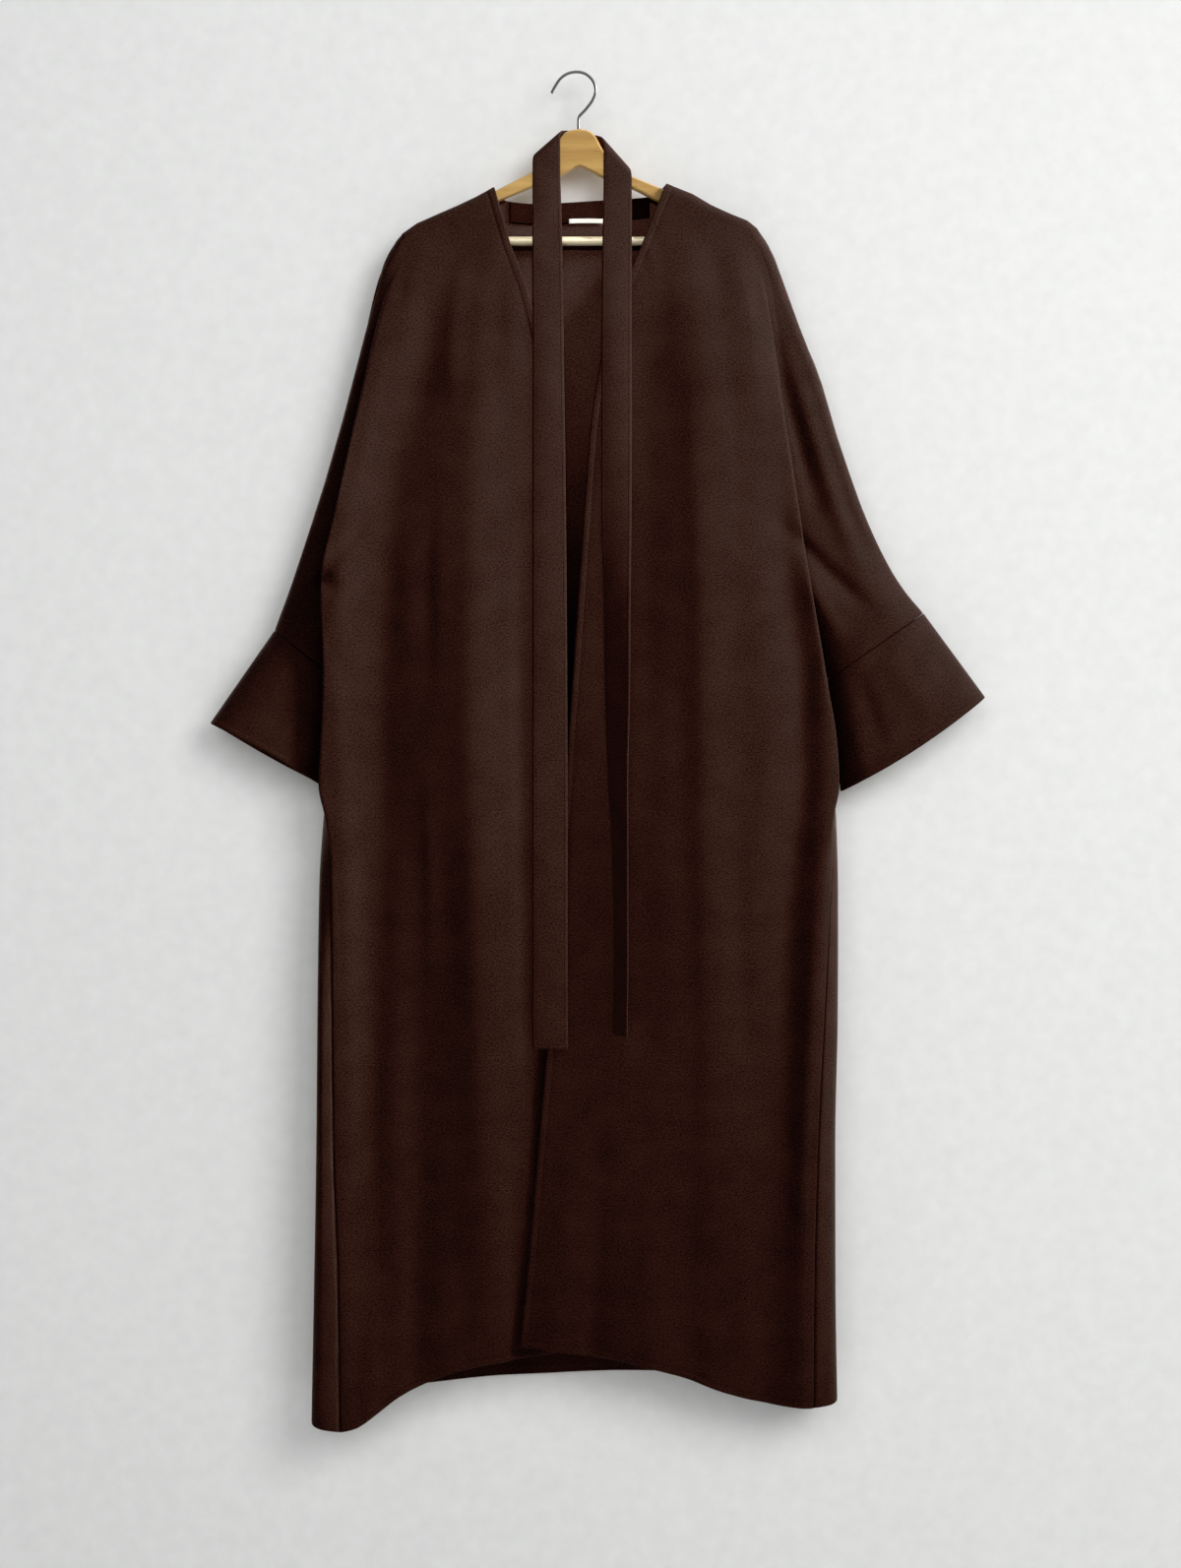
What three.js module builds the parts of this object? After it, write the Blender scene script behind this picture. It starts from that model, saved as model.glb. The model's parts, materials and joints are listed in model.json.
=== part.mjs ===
// An open-front abaya coat with batwing sleeves, hung on a wooden hanger with its belt laid over it.
// Sizes are in millimetres. Z is up, the front faces -Y, and the origin is under the hook's crown.
import * as THREE from "three";

// Driving sizes
const CLOTH = 2.0;
const BELT_THICK = 2.4;
const FACING_THICK = 1.2;
const LABEL_THICK = 0.8;
const GAP = 0.3;
const HALF_GAP = GAP / 2;
const SHOULDER_ROUND = 9.5;
const UNDERARM_Z = -515;
const SHOULDER_EASE = 120;
const WOOD_THICK = 11;
const WOOD_BEVEL = 2.5;
const BAR_RADIUS = 5.2;
const BAR_Z = -196;
const BAR_ENDS = [-165.7, 169.7];
const WIRE_RADIUS = 1.75;
const FACING_DEPTH = 24;
const FACING_ENDS = [-80, 84];
const LABEL_ENDS = [-10, 30];
const LABEL_LEVELS = [-168.5, -173.5];
const BELT_FOLD_RADIUS = 7.1;

const COLOUR = {
  cloth: 0x3a221c,
  belt: 0x3d261f,
  facing: 0x33201a,
  label: 0xe9e3d8,
  wood: 0xc79a5a,
  bar: 0xe6d3b0,
  steel: 0xb4b6b8,
};

// Each side is set out by distance from the middle, so one set of functions makes both sides.
// Front sections: level, front edge, fold corner, pleat corner and seam, each as out and forward
const LEFT_FRONT = [
  // z, edge, edge y, y at 0.2, 0.45, 0.7, 0.88, fold, fold y, pleat, pleat y, seam, seam y
  [-133, 98, 9.5, 9.5, 9.5, 9.5, 9.5, 172, 9.5, 178, 9.5, 186, 9.5],
  [-200, 79, 12, 13, 12, 14, 15, 192, 14, 198, 12, 203, 11],
  [-260, 58, 14, 16, 18, 18, 20, 220, 20, 222, 15, 224, 13],
  [-340, 41, 16, 20, 24, 20, 25, 243, 28, 236, 19, 233, 14],
  [-430, 31, 18, 23, 29, 23, 29, 264, 35, 232, 16, 230, 8],
  [-515, 25, 20, 26, 33, 26, 32, 282, 38, 223, 9, 220, 1.1],
  [-600, 20, 21, 28, 36, 28, 34, 299, 39, 246, 14, 238, 5],
  [-700, 14, 22, 29, 38, 29, 34, 296, 39, 269, 21, 262, 17],
  [-780, 10, 22, 30, 39, 30, 34, 298, 39, 289, 29, 283, 24],
  [-830, 8, 22, 30, 39, 30, 34, 299, 39, 295, 32, 291, 28],
  [-870, 7, 22, 30, 39, 30, 34, 290, 39, 289, 35, 287, 32],
  [-950, 5, 23, 31, 39, 31, 33, 276, 38, 280, 39, 283, 39],
  [-1100, 1, 25, 33, 41, 33, 34, 270, 39, 276, 40, 282, 40],
  [-1250, -2, 27, 35, 43, 36, 37, 266, 42, 273, 43, 280, 43],
  [-1400, -4, 29, 38, 46, 41, 42, 260, 47, 267, 48, 274, 48],
  [-1575, -7, 31, 41, 49, 46, 49, 256, 54, 264, 54, 271, 53],
];
const RIGHT_FRONT = [
  [-129, 104, 9.5, 9.5, 9.5, 9.5, 9.5, 176, 9.5, 182, 9.5, 190, 9.5],
  [-200, 76, 12, 13, 14, 15, 15, 194, 14, 200, 12, 205, 11],
  [-260, 52, 15, 17, 20, 21, 21, 215, 18, 218, 15, 219, 13],
  [-340, 27, 18, 19, 26, 30, 28, 232, 24, 227, 18, 223, 14],
  [-430, 14, 21, 23, 31, 34.5, 32, 246, 29, 218, 15, 215, 8],
  [-515, 8, 24, 27, 36, 38, 35, 259, 32, 208, 9, 205, 1.1],
  [-600, 2, 26, 30, 39, 39.5, 35, 272, 33, 238, 14, 228, 5],
  [-700, -5, 28, 33, 41, 40, 34.5, 289, 34, 269, 20, 262, 17],
  [-780, -11, 29, 36, 42, 40, 34, 300, 34, 296, 29, 290, 24],
  [-830, -14, 30, 37, 42.5, 40.5, 34, 302, 35, 300, 31, 297, 27],
  [-870, -17, 30, 37, 43, 41, 34, 293, 37, 295, 34, 296, 29],
  [-950, -22, 32, 39, 44, 42, 35, 280, 39, 286, 38, 292, 33],
  [-1100, -32, 35, 42, 46, 44, 37, 270, 42, 277, 41, 284, 38],
  [-1250, -45, 39, 45, 50, 48, 41, 262, 46, 269, 44, 276, 42],
  [-1400, -58, 44, 50, 54, 52, 45, 258, 51, 265, 49, 272, 46],
  [-1575, -77, 49, 54, 59, 57, 51, 256, 56, 263, 54, 270, 51],
];
// Back sections: level, inner corner, side fold and the start of the flat back, each as out and y
const LEFT_BACK = [
  // z, corner, corner y, fold, fold y, back start, back start y
  [-133, 180, 9.5, 172, 9.5, 155, 9.5],
  [-200, 199, 11, 191, 12, 172, 13],
  [-260, 222, 14, 217, 18, 196, 20],
  [-340, 234, 17, 238, 24, 214, 27],
  [-430, 234, 15, 256, 24, 225, 30],
  [-515, 224, 10, 271, 22, 236, 30],
  [-600, 240, 8, 282, 23, 246, 30],
  [-700, 258, 0, 289, 22, 254, 30],
  [-780, 272, -3, 294, 21, 258, 29],
  [-830, 282, -5, 296, 19, 260, 29],
  [-870, 295, -12, 297, 17, 262, 28],
  [-950, 299, -30, 298, 14, 264, 28],
  [-1100, 300, -40, 299, 12, 265, 29],
  [-1250, 301, -43, 300, 10, 265, 30],
  [-1400, 303, -47, 302, 8, 267, 31],
  [-1575, 306, -51, 304, 4, 270, 31],
];
const RIGHT_BACK = [
  [-129, 184, 9.5, 176, 9.5, 158, 9.5],
  [-200, 201, 11, 193, 12, 174, 13],
  [-260, 217, 14, 212, 18, 192, 20],
  [-340, 224, 17, 226, 24, 204, 27],
  [-430, 218, 15, 240, 24, 210, 30],
  [-515, 209, 10, 253, 22, 218, 30],
  [-600, 231, 8, 267, 23, 232, 30],
  [-700, 262, 0, 284, 22, 250, 30],
  [-780, 284, -3, 297, 20, 260, 29],
  [-830, 295, -6, 300, 18, 263, 29],
  [-870, 300, -14, 301, 16, 264, 28],
  [-950, 302, -23, 301, 14, 265, 28],
  [-1100, 301, -31, 300, 12, 265, 29],
  [-1250, 298, -33, 297, 10, 263, 30],
  [-1400, 298, -36, 297, 8, 263, 31],
  [-1575, 300, -42, 299, 4, 266, 31],
];
// Depth of the middle of the back at each level
const BACK_MIDDLE = [
  [-129, 9.5],
  [-200, 12],
  [-340, 17],
  [-515, 21],
  [-900, 24],
  [-1250, 27],
  [-1575, 29],
];

// Shoulder and overarm lines from the neck to the sleeve end, as out and level
const LEFT_SHOULDER = [
  [98, -134],
  [118, -145],
  [139, -155],
  [162, -165],
  [187, -176],
  [204, -188],
];
const RIGHT_SHOULDER = [
  [104, -130],
  [134, -142],
  [156, -155],
  [178, -165],
  [198, -173],
  [209, -182],
];
const LEFT_OVERARM = [
  [-188, 204],
  [-200, 213],
  [-231, 228],
  [-303, 247],
  [-403, 273],
  [-480, 295],
  [-557, 320],
  [-602, 335],
  [-651, 353],
];
const RIGHT_OVERARM = [
  [-182, 209],
  [-208, 225],
  [-235, 236],
  [-296, 258],
  [-362, 284],
  [-427, 303],
  [-510, 332],
  [-578, 364],
  [-606, 382],
  [-631, 403],
];
// Underarm lines from the armpit to the sleeve end, as level and out
const LEFT_UNDERARM = [
  [-515, 220],
  [-600, 249],
  [-660, 268],
  [-706, 282],
];
const RIGHT_UNDERARM = [
  [-515, 205],
  [-600, 240],
  [-660, 271],
  [-707, 293],
];
// Sleeve layers: share of the way down, depth in front and behind
const SLEEVE_DEPTH = [
  [0, 12, 10],
  [0.4, 15, 12],
  [0.75, 19, 16],
  [1, 21, 18],
];

// Hems as out or x and level
const LEFT_FRONT_HEM = [
  [-7, -1483],
  [20, -1484],
  [66, -1490],
  [132, -1502],
  [157, -1510],
  [181, -1521],
  [206, -1534],
  [229, -1551],
  [253, -1567],
  [272, -1572],
];
const RIGHT_FRONT_HEM = [
  [-70, -1474],
  [-24, -1480],
  [41, -1488],
  [111, -1505],
  [176, -1528],
  [237, -1542],
  [270, -1545],
];
const BACK_HEM = [
  [-306, -1556],
  [-270, -1547],
  [-187, -1538],
  [-93, -1528],
  [50, -1522],
  [180, -1525],
  [265, -1530],
  [300, -1535],
];
const LEFT_SEAM_HEM = -1572;
const RIGHT_SEAM_HEM = -1545;

// Back neck edge as x and level
const BACK_NECK = [
  [-98, -134],
  [-84, -147],
  [-50, -150],
  [20, -147],
  [80, -143],
  [104, -130],
];

// Reads a smooth line from a table that is sorted by its first column
function smoothAt(rows, at, column = 1) {
  const count = rows.length;
  const sign = rows[1][0] > rows[0][0] ? 1 : -1;
  const key = (row) => rows[row][0] * sign;
  const value = (row) => rows[row][column];
  const place = at * sign;
  if (place <= key(0)) {
    return value(0);
  }
  if (place >= key(count - 1)) {
    return value(count - 1);
  }
  let row = 0;
  while (place > key(row + 1)) {
    row += 1;
  }
  const slope = (first) => (value(first + 1) - value(first)) / (key(first + 1) - key(first));
  const tangent = (knot) => {
    if (knot === 0) {
      return slope(0);
    }
    if (knot === count - 1) {
      return slope(count - 2);
    }
    const before = slope(knot - 1);
    const after = slope(knot);
    return before * after <= 0 ? 0 : (2 * before * after) / (before + after);
  };
  const span = key(row + 1) - key(row);
  const part = (place - key(row)) / span;
  const square = part * part;
  const cube = square * part;
  return (
    (2 * cube - 3 * square + 1) * value(row) +
    (cube - 2 * square + part) * span * tangent(row) +
    (3 * square - 2 * cube) * value(row + 1) +
    (cube - square) * span * tangent(row + 1)
  );
}

const mix = (from, to, part) => from + (to - from) * part;
const clamp = (value, low, high) => Math.min(high, Math.max(low, value));
const ease = (part) => {
  const held = clamp(part, 0, 1);
  return held * held * (3 - 2 * held);
};
const roundTop = (distance, radius) => {
  const part = 1 - clamp(distance / radius, 0, 1);
  return Math.sqrt(Math.max(0, 1 - part * part));
};

// A point on the round between two straight parts that meet at a corner
function cornerPoint(before, corner, after, radius, part) {
  const inLength = Math.hypot(corner[0] - before[0], corner[1] - before[1]);
  const outLength = Math.hypot(after[0] - corner[0], after[1] - corner[1]);
  const inPart = Math.min(radius, inLength * 0.45) / inLength;
  const outPart = Math.min(radius, outLength * 0.45) / outLength;
  const start = [mix(corner[0], before[0], inPart), mix(corner[1], before[1], inPart)];
  const end = [mix(corner[0], after[0], outPart), mix(corner[1], after[1], outPart)];
  const first = [mix(start[0], corner[0], part), mix(start[1], corner[1], part)];
  const second = [mix(corner[0], end[0], part), mix(corner[1], end[1], part)];
  return [mix(first[0], second[0], part), mix(first[1], second[1], part)];
}

// The two sides of the coat
const LEFT = {
  sign: -1,
  front: LEFT_FRONT,
  back: LEFT_BACK,
  shoulder: LEFT_SHOULDER,
  overarm: LEFT_OVERARM,
  underarm: LEFT_UNDERARM,
  frontHem: LEFT_FRONT_HEM,
  seamHem: LEFT_SEAM_HEM,
  cuffTip: [428, -759],
  cuffHeel: [297, -832],
  cuffBow: -4,
  cuffSag: 7,
};
const RIGHT = {
  sign: 1,
  front: RIGHT_FRONT,
  back: RIGHT_BACK,
  shoulder: RIGHT_SHOULDER,
  overarm: RIGHT_OVERARM,
  underarm: RIGHT_UNDERARM,
  frontHem: RIGHT_FRONT_HEM,
  seamHem: RIGHT_SEAM_HEM,
  cuffTip: [475, -729],
  cuffHeel: [308, -838],
  cuffBow: 6,
  cuffSag: 2,
};

const shoulderZ = (side, out) => smoothAt(side.shoulder, out);
const overarmOut = (side, z) => smoothAt(side.overarm, z);

// Distance from the line that runs along the shoulder and the overarm
function edgeDistance(side, out, z) {
  const line = side.shoulder.concat(side.overarm.slice(1).map((row) => [row[1], row[0]]));
  let best = Infinity;
  for (let row = 0; row + 1 < line.length; row += 1) {
    const [ax, az] = line[row];
    const [bx, bz] = line[row + 1];
    const lengthSquare = (bx - ax) ** 2 + (bz - az) ** 2;
    const along = clamp(((out - ax) * (bx - ax) + (z - az) * (bz - az)) / lengthSquare, 0, 1);
    best = Math.min(best, Math.hypot(out - mix(ax, bx, along), z - mix(az, bz, along)));
  }
  return best;
}

// Depth grows from the round over the shoulder to the table's value lower down
function easedDepth(side, out, z, depth) {
  const last = side.shoulder[side.shoulder.length - 1];
  const first = side.shoulder[0];
  const top = shoulderZ(side, clamp(out, first[0], last[0]));
  const part = ease((top - z) / SHOULDER_EASE);
  return mix(SHOULDER_ROUND, depth, part);
}

// Shares used for the columns of a panel
const LAYER_SHARES = [0, 0.1, 0.2, 0.32, 0.45, 0.58, 0.7, 0.8, 0.88];
const FOLD_SHARES = [0, 0.25, 0.5, 0.75, 1];
const PLEAT_SHARES = [0, 0.5, 1];
const SLEEVE_SHARES = [0.06, 0.16, 0.34, 0.55, 0.75, 0.88, 0.95, 1];
const FOLD_ROUND = 8;
const PLEAT_ROUND = 7;
const SIDE_ROUND = 15;

// Front layer from the front edge to the side seam, as out and y
function frontBody(side, z) {
  const read = (column) => smoothAt(side.front, z, column);
  const edge = read(1);
  const fold = [read(7), -read(8)];
  const pleat = [read(9), -read(10)];
  const seam = [read(11), -read(12)];
  const layer = [
    [0, -read(2)],
    [0.2, -read(3)],
    [0.45, -read(4)],
    [0.7, -read(5)],
    [0.88, -read(6)],
    [1, fold[1]],
  ];
  const points = LAYER_SHARES.map((share) => [mix(edge, fold[0], share), smoothAt(layer, share)]);
  const last = points[points.length - 1];
  FOLD_SHARES.forEach((share) => points.push(cornerPoint(last, fold, pleat, FOLD_ROUND, share)));
  PLEAT_SHARES.forEach((share) => points.push(cornerPoint(fold, pleat, seam, PLEAT_ROUND, share)));
  points.push(seam);
  return points;
}

// Back layer from the side seam to the start of the flat back, as out and y
function backBody(side, z) {
  const read = (column) => smoothAt(side.back, z, column);
  const seamDepth = smoothAt(side.front, z, 12);
  const below = ease((UNDERARM_Z - z) / 40);
  const seam = [smoothAt(side.front, z, 11), mix(seamDepth, -seamDepth, below)];
  const corner = [read(1), read(2)];
  const fold = [read(3), read(4)];
  const start = [read(5), read(6)];
  const points = [seam];
  PLEAT_SHARES.forEach((share) => points.push(cornerPoint(seam, corner, fold, SIDE_ROUND, share)));
  FOLD_SHARES.forEach((share) => points.push(cornerPoint(corner, fold, start, SIDE_ROUND, share)));
  points.push(start);
  return points;
}

// Direction of the cloth across the side seam, from the front to the back
function seamDirection(side, z) {
  const pleat = [smoothAt(side.front, z, 9), -smoothAt(side.front, z, 10)];
  const corner = [smoothAt(side.back, z, 1), smoothAt(side.back, z, 2)];
  const out = corner[0] - pleat[0];
  const back = corner[1] - pleat[1];
  const length = Math.hypot(out, back);
  return [out / length, back / length];
}

// A thick sheet made from a net of points on its middle surface
class Sheet {
  constructor(thickness) {
    this.half = thickness / 2;
    this.points = [];
    this.faces = [];
    this.pinned = new Map();
    this.flat = new Set();
  }

  point(x, y, z) {
    this.points.push(new THREE.Vector3(x, y, z));
    return this.points.length - 1;
  }

  // Holds the sheet's square direction at one point
  pin(index, x, y, z) {
    this.pinned.set(index, new THREE.Vector3(x, y, z).normalize());
  }

  // Keeps the square direction at one point free of depth, for edges that butt against another sheet
  flatten(index) {
    this.flat.add(index);
  }

  quad(a, b, c, d, flip) {
    if (flip) {
      this.faces.push([a, d, c], [a, c, b]);
    } else {
      this.faces.push([a, b, c], [a, c, d]);
    }
  }

  // Joins rows of point numbers into quads
  net(rows, flip) {
    for (let row = 0; row + 1 < rows.length; row += 1) {
      const upper = rows[row];
      const lower = rows[row + 1];
      for (let column = 0; column + 1 < upper.length; column += 1) {
        this.quad(upper[column], upper[column + 1], lower[column + 1], lower[column], flip);
      }
    }
  }

  normals() {
    const sums = this.points.map(() => new THREE.Vector3());
    this.faces.forEach(([a, b, c]) => {
      const first = this.points[b].clone().sub(this.points[a]);
      const second = this.points[c].clone().sub(this.points[a]);
      const square = first.cross(second);
      [a, b, c].forEach((index) => sums[index].add(square));
    });
    return sums.map((sum, index) => {
      if (this.pinned.has(index)) {
        return this.pinned.get(index);
      }
      if (this.flat.has(index)) {
        sum.y = 0;
      }
      return sum.normalize();
    });
  }

  // Both faces and the walls round the edge; each wall is cut from its higher outer corner, so that
  // sheets that butt together have matching walls
  geometry() {
    const count = this.points.length;
    const squares = this.normals();
    const places = [];
    [this.half, -this.half].forEach((offset) => {
      this.points.forEach((point, index) => {
        const moved = point.clone().addScaledVector(squares[index], offset);
        places.push(moved.x, moved.y, moved.z);
      });
    });
    const indices = [];
    const edges = new Set();
    this.faces.forEach(([a, b, c]) => {
      indices.push(a, b, c, a + count, c + count, b + count);
      [[a, b], [b, c], [c, a]].forEach(([from, to]) => edges.add(`${from}_${to}`));
    });
    this.faces.forEach(([a, b, c]) => {
      [[a, b], [b, c], [c, a]].forEach(([from, to]) => {
        if (edges.has(`${to}_${from}`)) {
          return;
        }
        if (this.points[to].z > this.points[from].z) {
          indices.push(to, from, from + count, to, from + count, to + count);
        } else {
          indices.push(to, from, to + count, from, from + count, to + count);
        }
      });
    });
    const geometry = new THREE.BufferGeometry();
    geometry.setAttribute("position", new THREE.Float32BufferAttribute(places, 3));
    geometry.setIndex(indices);
    return geometry;
  }
}

const group = new THREE.Group();

function addPart(name, geometry, colour, roughness = 0.9) {
  geometry.computeVertexNormals();
  const material = new THREE.MeshStandardMaterial({ color: colour, roughness });
  const mesh = new THREE.Mesh(geometry, material);
  mesh.name = name;
  group.add(mesh);
}

// Rows of a panel as shares of the way down
const UPPER_SHARES = [0, 0.006, 0.016, 0.032, 0.07, 0.15, 0.26, 0.4, 0.56, 0.72, 0.87, 1];
const LOWER_SHARES = [0, 0.03, 0.08, 0.14, 0.2, 0.25, 0.3, 0.36, 0.45, 0.57, 0.71, 0.86, 1];
const SLEEVE_ROWS = [0, 0.12, 0.3, 0.52, 0.76, 1];

// Depth of a sleeve layer above the underarm, from the pleat out to the overarm line
function sleeveLayer(side, z, share, inner, facing) {
  const rest = mix(10, facing < 0 ? 12 : 10, ease((-200 - z) / 200));
  return mix(inner, rest, clamp(share / 0.3, 0, 1));
}

// One point of a front or back panel above the underarm, column by column
function upperSection(side, z, facing) {
  const body = facing < 0 ? frontBody(side, z) : backBody(side, z).reverse();
  const seam = body[body.length - 1];
  const edge = overarmOut(side, z);
  const inner = Math.abs(seam[1]);
  const points = body.map(([out, y]) => [out, y]);
  SLEEVE_SHARES.forEach((share) => {
    const depth = sleeveLayer(side, z, share, inner, facing);
    points.push([mix(seam[0], edge, share), facing * depth]);
  });
  return points;
}

// Sets a section's point to its depth over the shoulder and keeps both layers off the seam plane
function seatUpper(side, out, y, z, facing) {
  const distance = edgeDistance(side, out, z);
  const depth = easedDepth(side, out, z, Math.abs(y)) * roundTop(distance, SHOULDER_ROUND);
  return facing * Math.max(HALF_GAP, depth);
}

// Level where a column starts, found by walking up the section to the top line
function columnTop(section, column, topLine) {
  let z = -150;
  for (let turn = 0; turn < 40; turn += 1) {
    z = mix(z, topLine(section(z)[column][0]), 0.7);
  }
  return z;
}

// Level where a column ends at the hem
function columnHem(section, column, hemLine) {
  let z = -1520;
  for (let turn = 0; turn < 12; turn += 1) {
    z = hemLine(section(z)[column][0]);
  }
  return z;
}

// A sleeve below the underarm: point at a share of the way down and of the way out
function sleevePoint(side, down, share, facing) {
  const endZ = side.overarm[side.overarm.length - 1][0];
  const heelZ = side.underarm[side.underarm.length - 1][0];
  const outerZ = mix(UNDERARM_Z, endZ, down);
  const innerZ = mix(UNDERARM_Z, heelZ, down);
  const outer = overarmOut(side, outerZ);
  const inner = smoothAt(side.underarm, innerZ);
  const out = mix(inner, outer, share);
  const z = mix(innerZ, outerZ, share);
  const width = Math.hypot(outer - inner, outerZ - innerZ);
  const full = smoothAt(SLEEVE_DEPTH, down, facing < 0 ? 1 : 2);
  const lens = full * Math.sqrt(Math.max(0, 1 - Math.abs(2 * share - 1) ** 2.6));
  const pressed =
    sleeveLayer(side, UNDERARM_Z, share, 1.1, facing) *
    roundTop((1 - share) * width, SHOULDER_ROUND);
  const depth = mix(pressed, lens, ease(down / 0.4));
  return [out, facing * Math.max(HALF_GAP, depth), z];
}

// Square direction of a sleeve's edge, out from the sleeve in the plane of its row
function sleeveEdge(side, down) {
  const outer = sleevePoint(side, down, 1, -1);
  const inner = sleevePoint(side, down, 0, -1);
  const width = Math.hypot(outer[0] - inner[0], outer[2] - inner[2]);
  return [(outer[0] - inner[0]) / width, (outer[2] - inner[2]) / width];
}

// Adds one side's sleeve below the underarm to a sheet and gives back its rows
function addSleeve(sheet, side, facing, startRow) {
  const rows = [startRow];
  SLEEVE_ROWS.slice(1).forEach((down) => {
    const row = [];
    const edge = sleeveEdge(side, down);
    const turned = ease(1 - down / 0.35);
    const press = turned * 1.0;
    [0].concat(SLEEVE_SHARES).forEach((share) => {
      const [out, y, z] = sleevePoint(side, down, share, facing);
      const depth = share === 0 ? facing * (HALF_GAP + press) : y;
      const index = sheet.point(side.sign * out, depth, z);
      if (share === 0) {
        const flatPart = Math.sqrt(Math.max(0, 1 - press * press));
        sheet.pin(index, -side.sign * edge[0] * flatPart, facing * press, -edge[1] * flatPart);
      }
      if (share === 1) {
        sheet.flatten(index);
      }
      row.push(index);
    });
    rows.push(row);
  });
  return rows;
}

// Front panel with its half of the sleeve
function frontPanel(side) {
  const sheet = new Sheet(CLOTH);
  const section = (z) => upperSection(side, z, -1);
  const topLine = (out) => shoulderZ(side, clamp(out, side.shoulder[0][0], 1000));
  const columns = section(UNDERARM_Z).length;
  const seamColumn = columns - 1 - SLEEVE_SHARES.length;
  const tops = [];
  for (let column = 0; column < columns; column += 1) {
    const last = column === columns - 1;
    tops.push(last ? side.overarm[0][0] : columnTop(section, column, topLine));
  }
  const upper = UPPER_SHARES.map((share, rowNumber) => {
    const row = [];
    for (let column = 0; column < columns; column += 1) {
      const z = mix(tops[column], UNDERARM_Z, share);
      const [out, y] = section(z)[column];
      const onSeam = rowNumber === 0 || column === columns - 1;
      const depth = onSeam ? -HALF_GAP : seatUpper(side, out, y, z, -1);
      const index = sheet.point(side.sign * out, depth, z);
      if (onSeam) {
        sheet.flatten(index);
      }
      row.push(index);
    }
    return row;
  });
  const underarm = upper[upper.length - 1];
  sheet.pin(underarm[seamColumn], side.sign * 0.3, -0.95, 0);
  sheet.net(upper, side.sign > 0);
  const bodySection = (z) => frontBody(side, z);
  const hemLine = (out) => smoothAt(side.frontHem, out);
  const lower = [underarm.slice(0, seamColumn + 1)];
  const hems = [];
  for (let column = 0; column <= seamColumn; column += 1) {
    hems.push(column === seamColumn ? side.seamHem : columnHem(bodySection, column, hemLine));
  }
  LOWER_SHARES.slice(1).forEach((share) => {
    const row = [];
    for (let column = 0; column <= seamColumn; column += 1) {
      const z = mix(UNDERARM_Z, hems[column], share);
      let [out, y] = bodySection(z)[column];
      if (column === seamColumn) {
        y *= ease((UNDERARM_Z - z) / 40);
        const [acrossOut, acrossBack] = seamDirection(side, z);
        out -= acrossOut * HALF_GAP;
        y -= acrossBack * HALF_GAP;
      }
      const index = sheet.point(side.sign * out, y, z);
      if (column === seamColumn) {
        const [acrossOut, acrossBack] = seamDirection(side, z);
        sheet.pin(index, side.sign * acrossBack, -acrossOut, 0);
      }
      row.push(index);
    }
    lower.push(row);
  });
  sheet.net(lower, side.sign > 0);
  const sleeve = addSleeve(sheet, side, -1, underarm.slice(seamColumn));
  sheet.net(sleeve, side.sign > 0);
  return sheet;
}

// Columns across the flat middle of the back, as shares from side to side
const NECK_SHARES = [0.1821, 0.1895, 0.205, 0.232, 0.775, 0.803, 0.8195, 0.8275];
const MIDDLE_SHARES = [0.09, 0.3, 0.42, 0.57, 0.7, 0.91].concat(NECK_SHARES).sort();

function backSection(z, withSleeves) {
  const halves = [LEFT, RIGHT].map((side) => {
    if (withSleeves) {
      return upperSection(side, z, 1);
    }
    return backBody(side, z).reverse();
  });
  const leftStart = halves[0][0];
  const rightStart = halves[1][0];
  const middle = smoothAt(BACK_MIDDLE, z);
  const row = halves[0].slice().reverse().map(([out, y]) => [-out, y]);
  MIDDLE_SHARES.forEach((share) => {
    const side = mix(leftStart[1], rightStart[1], share);
    const bow = Math.sin(Math.PI * share) ** 0.8;
    row.push([mix(-leftStart[0], rightStart[0], share), mix(side, middle, bow)]);
  });
  halves[1].forEach(([out, y]) => row.push([out, y]));
  return row;
}

// Top line of the back: shoulders at the sides and the neck edge between them
function backTop(x) {
  if (x < -LEFT.shoulder[0][0]) {
    return shoulderZ(LEFT, -x);
  }
  if (x > RIGHT.shoulder[0][0]) {
    return shoulderZ(RIGHT, x);
  }
  return smoothAt(BACK_NECK, x);
}

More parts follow.
